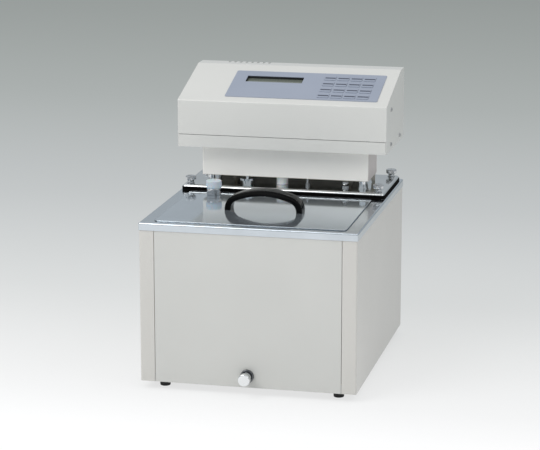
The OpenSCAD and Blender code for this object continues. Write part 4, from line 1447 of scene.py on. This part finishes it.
@dataclass(frozen=True)
class Lamp:
    """One soft square light.

    Attributes:
        name: Its name.
        spot: Where it hangs, in metres.
        aim: What it points at, in metres.
        size: Its side, in metres.
        power: Its power, in watts.
    """

    name: str
    spot: Point
    aim: Point
    size: float
    power: float

    def hang(self) -> None:
        """Adds the light to the scene."""
        light = bpy.data.lights.new(self.name, "AREA")
        light.shape = "SQUARE"
        light.size = self.size
        light.energy = self.power
        holder = bpy.data.objects.new(self.name, light)
        way = Vector(self.aim) - Vector(self.spot)
        holder.location = self.spot
        holder.rotation_euler = way.to_track_quat("-Z", "Y").to_euler()
        bpy.context.scene.collection.objects.link(holder)


@dataclass
class Studio:
    """Floor, lights and camera.

    Attributes:
        floor_half: Half the floor's side, in metres.
        sky_tones: Heights on the sky, from horizon to overhead, and its linear colours there.
        sky_strength: The sky's strength.
        lamps: The lights.
        sensor: The camera's sensor width, in mm.
        lens: Its focal length, in mm.
        stand: Its place from the middle of the cabinet's lower front edge, in metres.
        pitch: How far it looks down, in radians.
        yaw: How far it looks to the left, in radians.
    """

    floor_half: float = 40.0
    sky_tones: Tones = (
        (0.05, srgb(176, 184, 190)),
        (0.35, srgb(205, 211, 216)),
        (0.9, srgb(250, 252, 255)),
    )
    sky_strength: float = 0.85
    lamps: tuple[Lamp, ...] = (
        Lamp("key_light", (-1.75, -2.0, 2.9), (0.0, 0.0, 0.3), 2.2, 61.0),
        Lamp("fill_light", (2.5, -0.9, 2.6), (0.0, 0.0, 0.25), 2.0, 16.0),
    )
    sensor: float = 36.0
    lens: float = 145.86
    stand: Point = (0.7707, -3.2201, 1.0379)
    pitch: float = 0.2296
    yaw: float = 0.2241

    def floor(self) -> None:
        """Makes the pale floor."""
        form = Form()
        bmesh.ops.create_grid(form.bm, x_segments=1, y_segments=1, size=self.floor_half)
        pale = PaleFloor("floor_pale", srgb(255, 255, 255))
        form.finish("studio_floor", pale, 30.0)

    def sky(self) -> None:
        """Makes soft light from all round, grey near the horizon and bright overhead."""
        world = bpy.data.worlds.new("studio_sky")
        bpy.context.scene.world = world
        graph = NodeGraph(world, "ShaderNodeOutputWorld")
        colour = graph.ramp(graph.part(graph.place("Generated"), "Z"), self.sky_tones)
        inputs = {"Color": colour, "Strength": self.sky_strength}
        graph.show(graph.add("ShaderNodeBackground", inputs).outputs["Background"])

    def camera(self) -> None:
        """Puts the camera where the photograph's lines say it stood."""
        data = bpy.data.cameras.new("photo_camera")
        data.sensor_width = self.sensor
        data.lens = self.lens
        holder = bpy.data.objects.new("photo_camera", data)
        across, behind, up = self.stand
        holder.location = (across, DATUM.front_y + behind, DATUM.base_z + up)
        holder.rotation_euler = (math.pi / 2 - self.pitch, 0.0, self.yaw)
        bpy.context.scene.collection.objects.link(holder)
        bpy.context.scene.camera = holder

    def build(self) -> None:
        """Makes the studio."""
        self.camera()
        self.floor()
        self.sky()
        for lamp in self.lamps:
            lamp.hang()
        bpy.context.scene.view_settings.view_transform = "Standard"
        LOG.info("studio built")


def dress_nodes() -> None:
    """Gives every CAD node its finish."""
    for name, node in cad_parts.items():
        finish = NODE_FINISH.get(name)
        if finish is None:
            finish = Finishes.KEY if name.startswith("key_") else Finishes.ZINC
        if not node.material_slots:
            node.data.materials.append(finish.material())
        for slot in node.material_slots:
            slot.material = finish.material()
        LOG.info("node %s wears %s", name, finish.name)


def main() -> None:
    """Builds the whole scene."""
    logging.basicConfig(level=logging.INFO, format="%(name)s: %(message)s")
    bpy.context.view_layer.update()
    Studio().build()
    dress_nodes()
    for assembly in (
        Lid(),
        BowHandle(),
        Port(),
        HandScrews(),
        DrainOutlet(),
        Feet(),
        BridgeTrim(),
        CoverScrews(),
        KeyMarks(),
        InletDetails(),
    ):
        assembly.build()


if __name__ == "__main__":
    main()
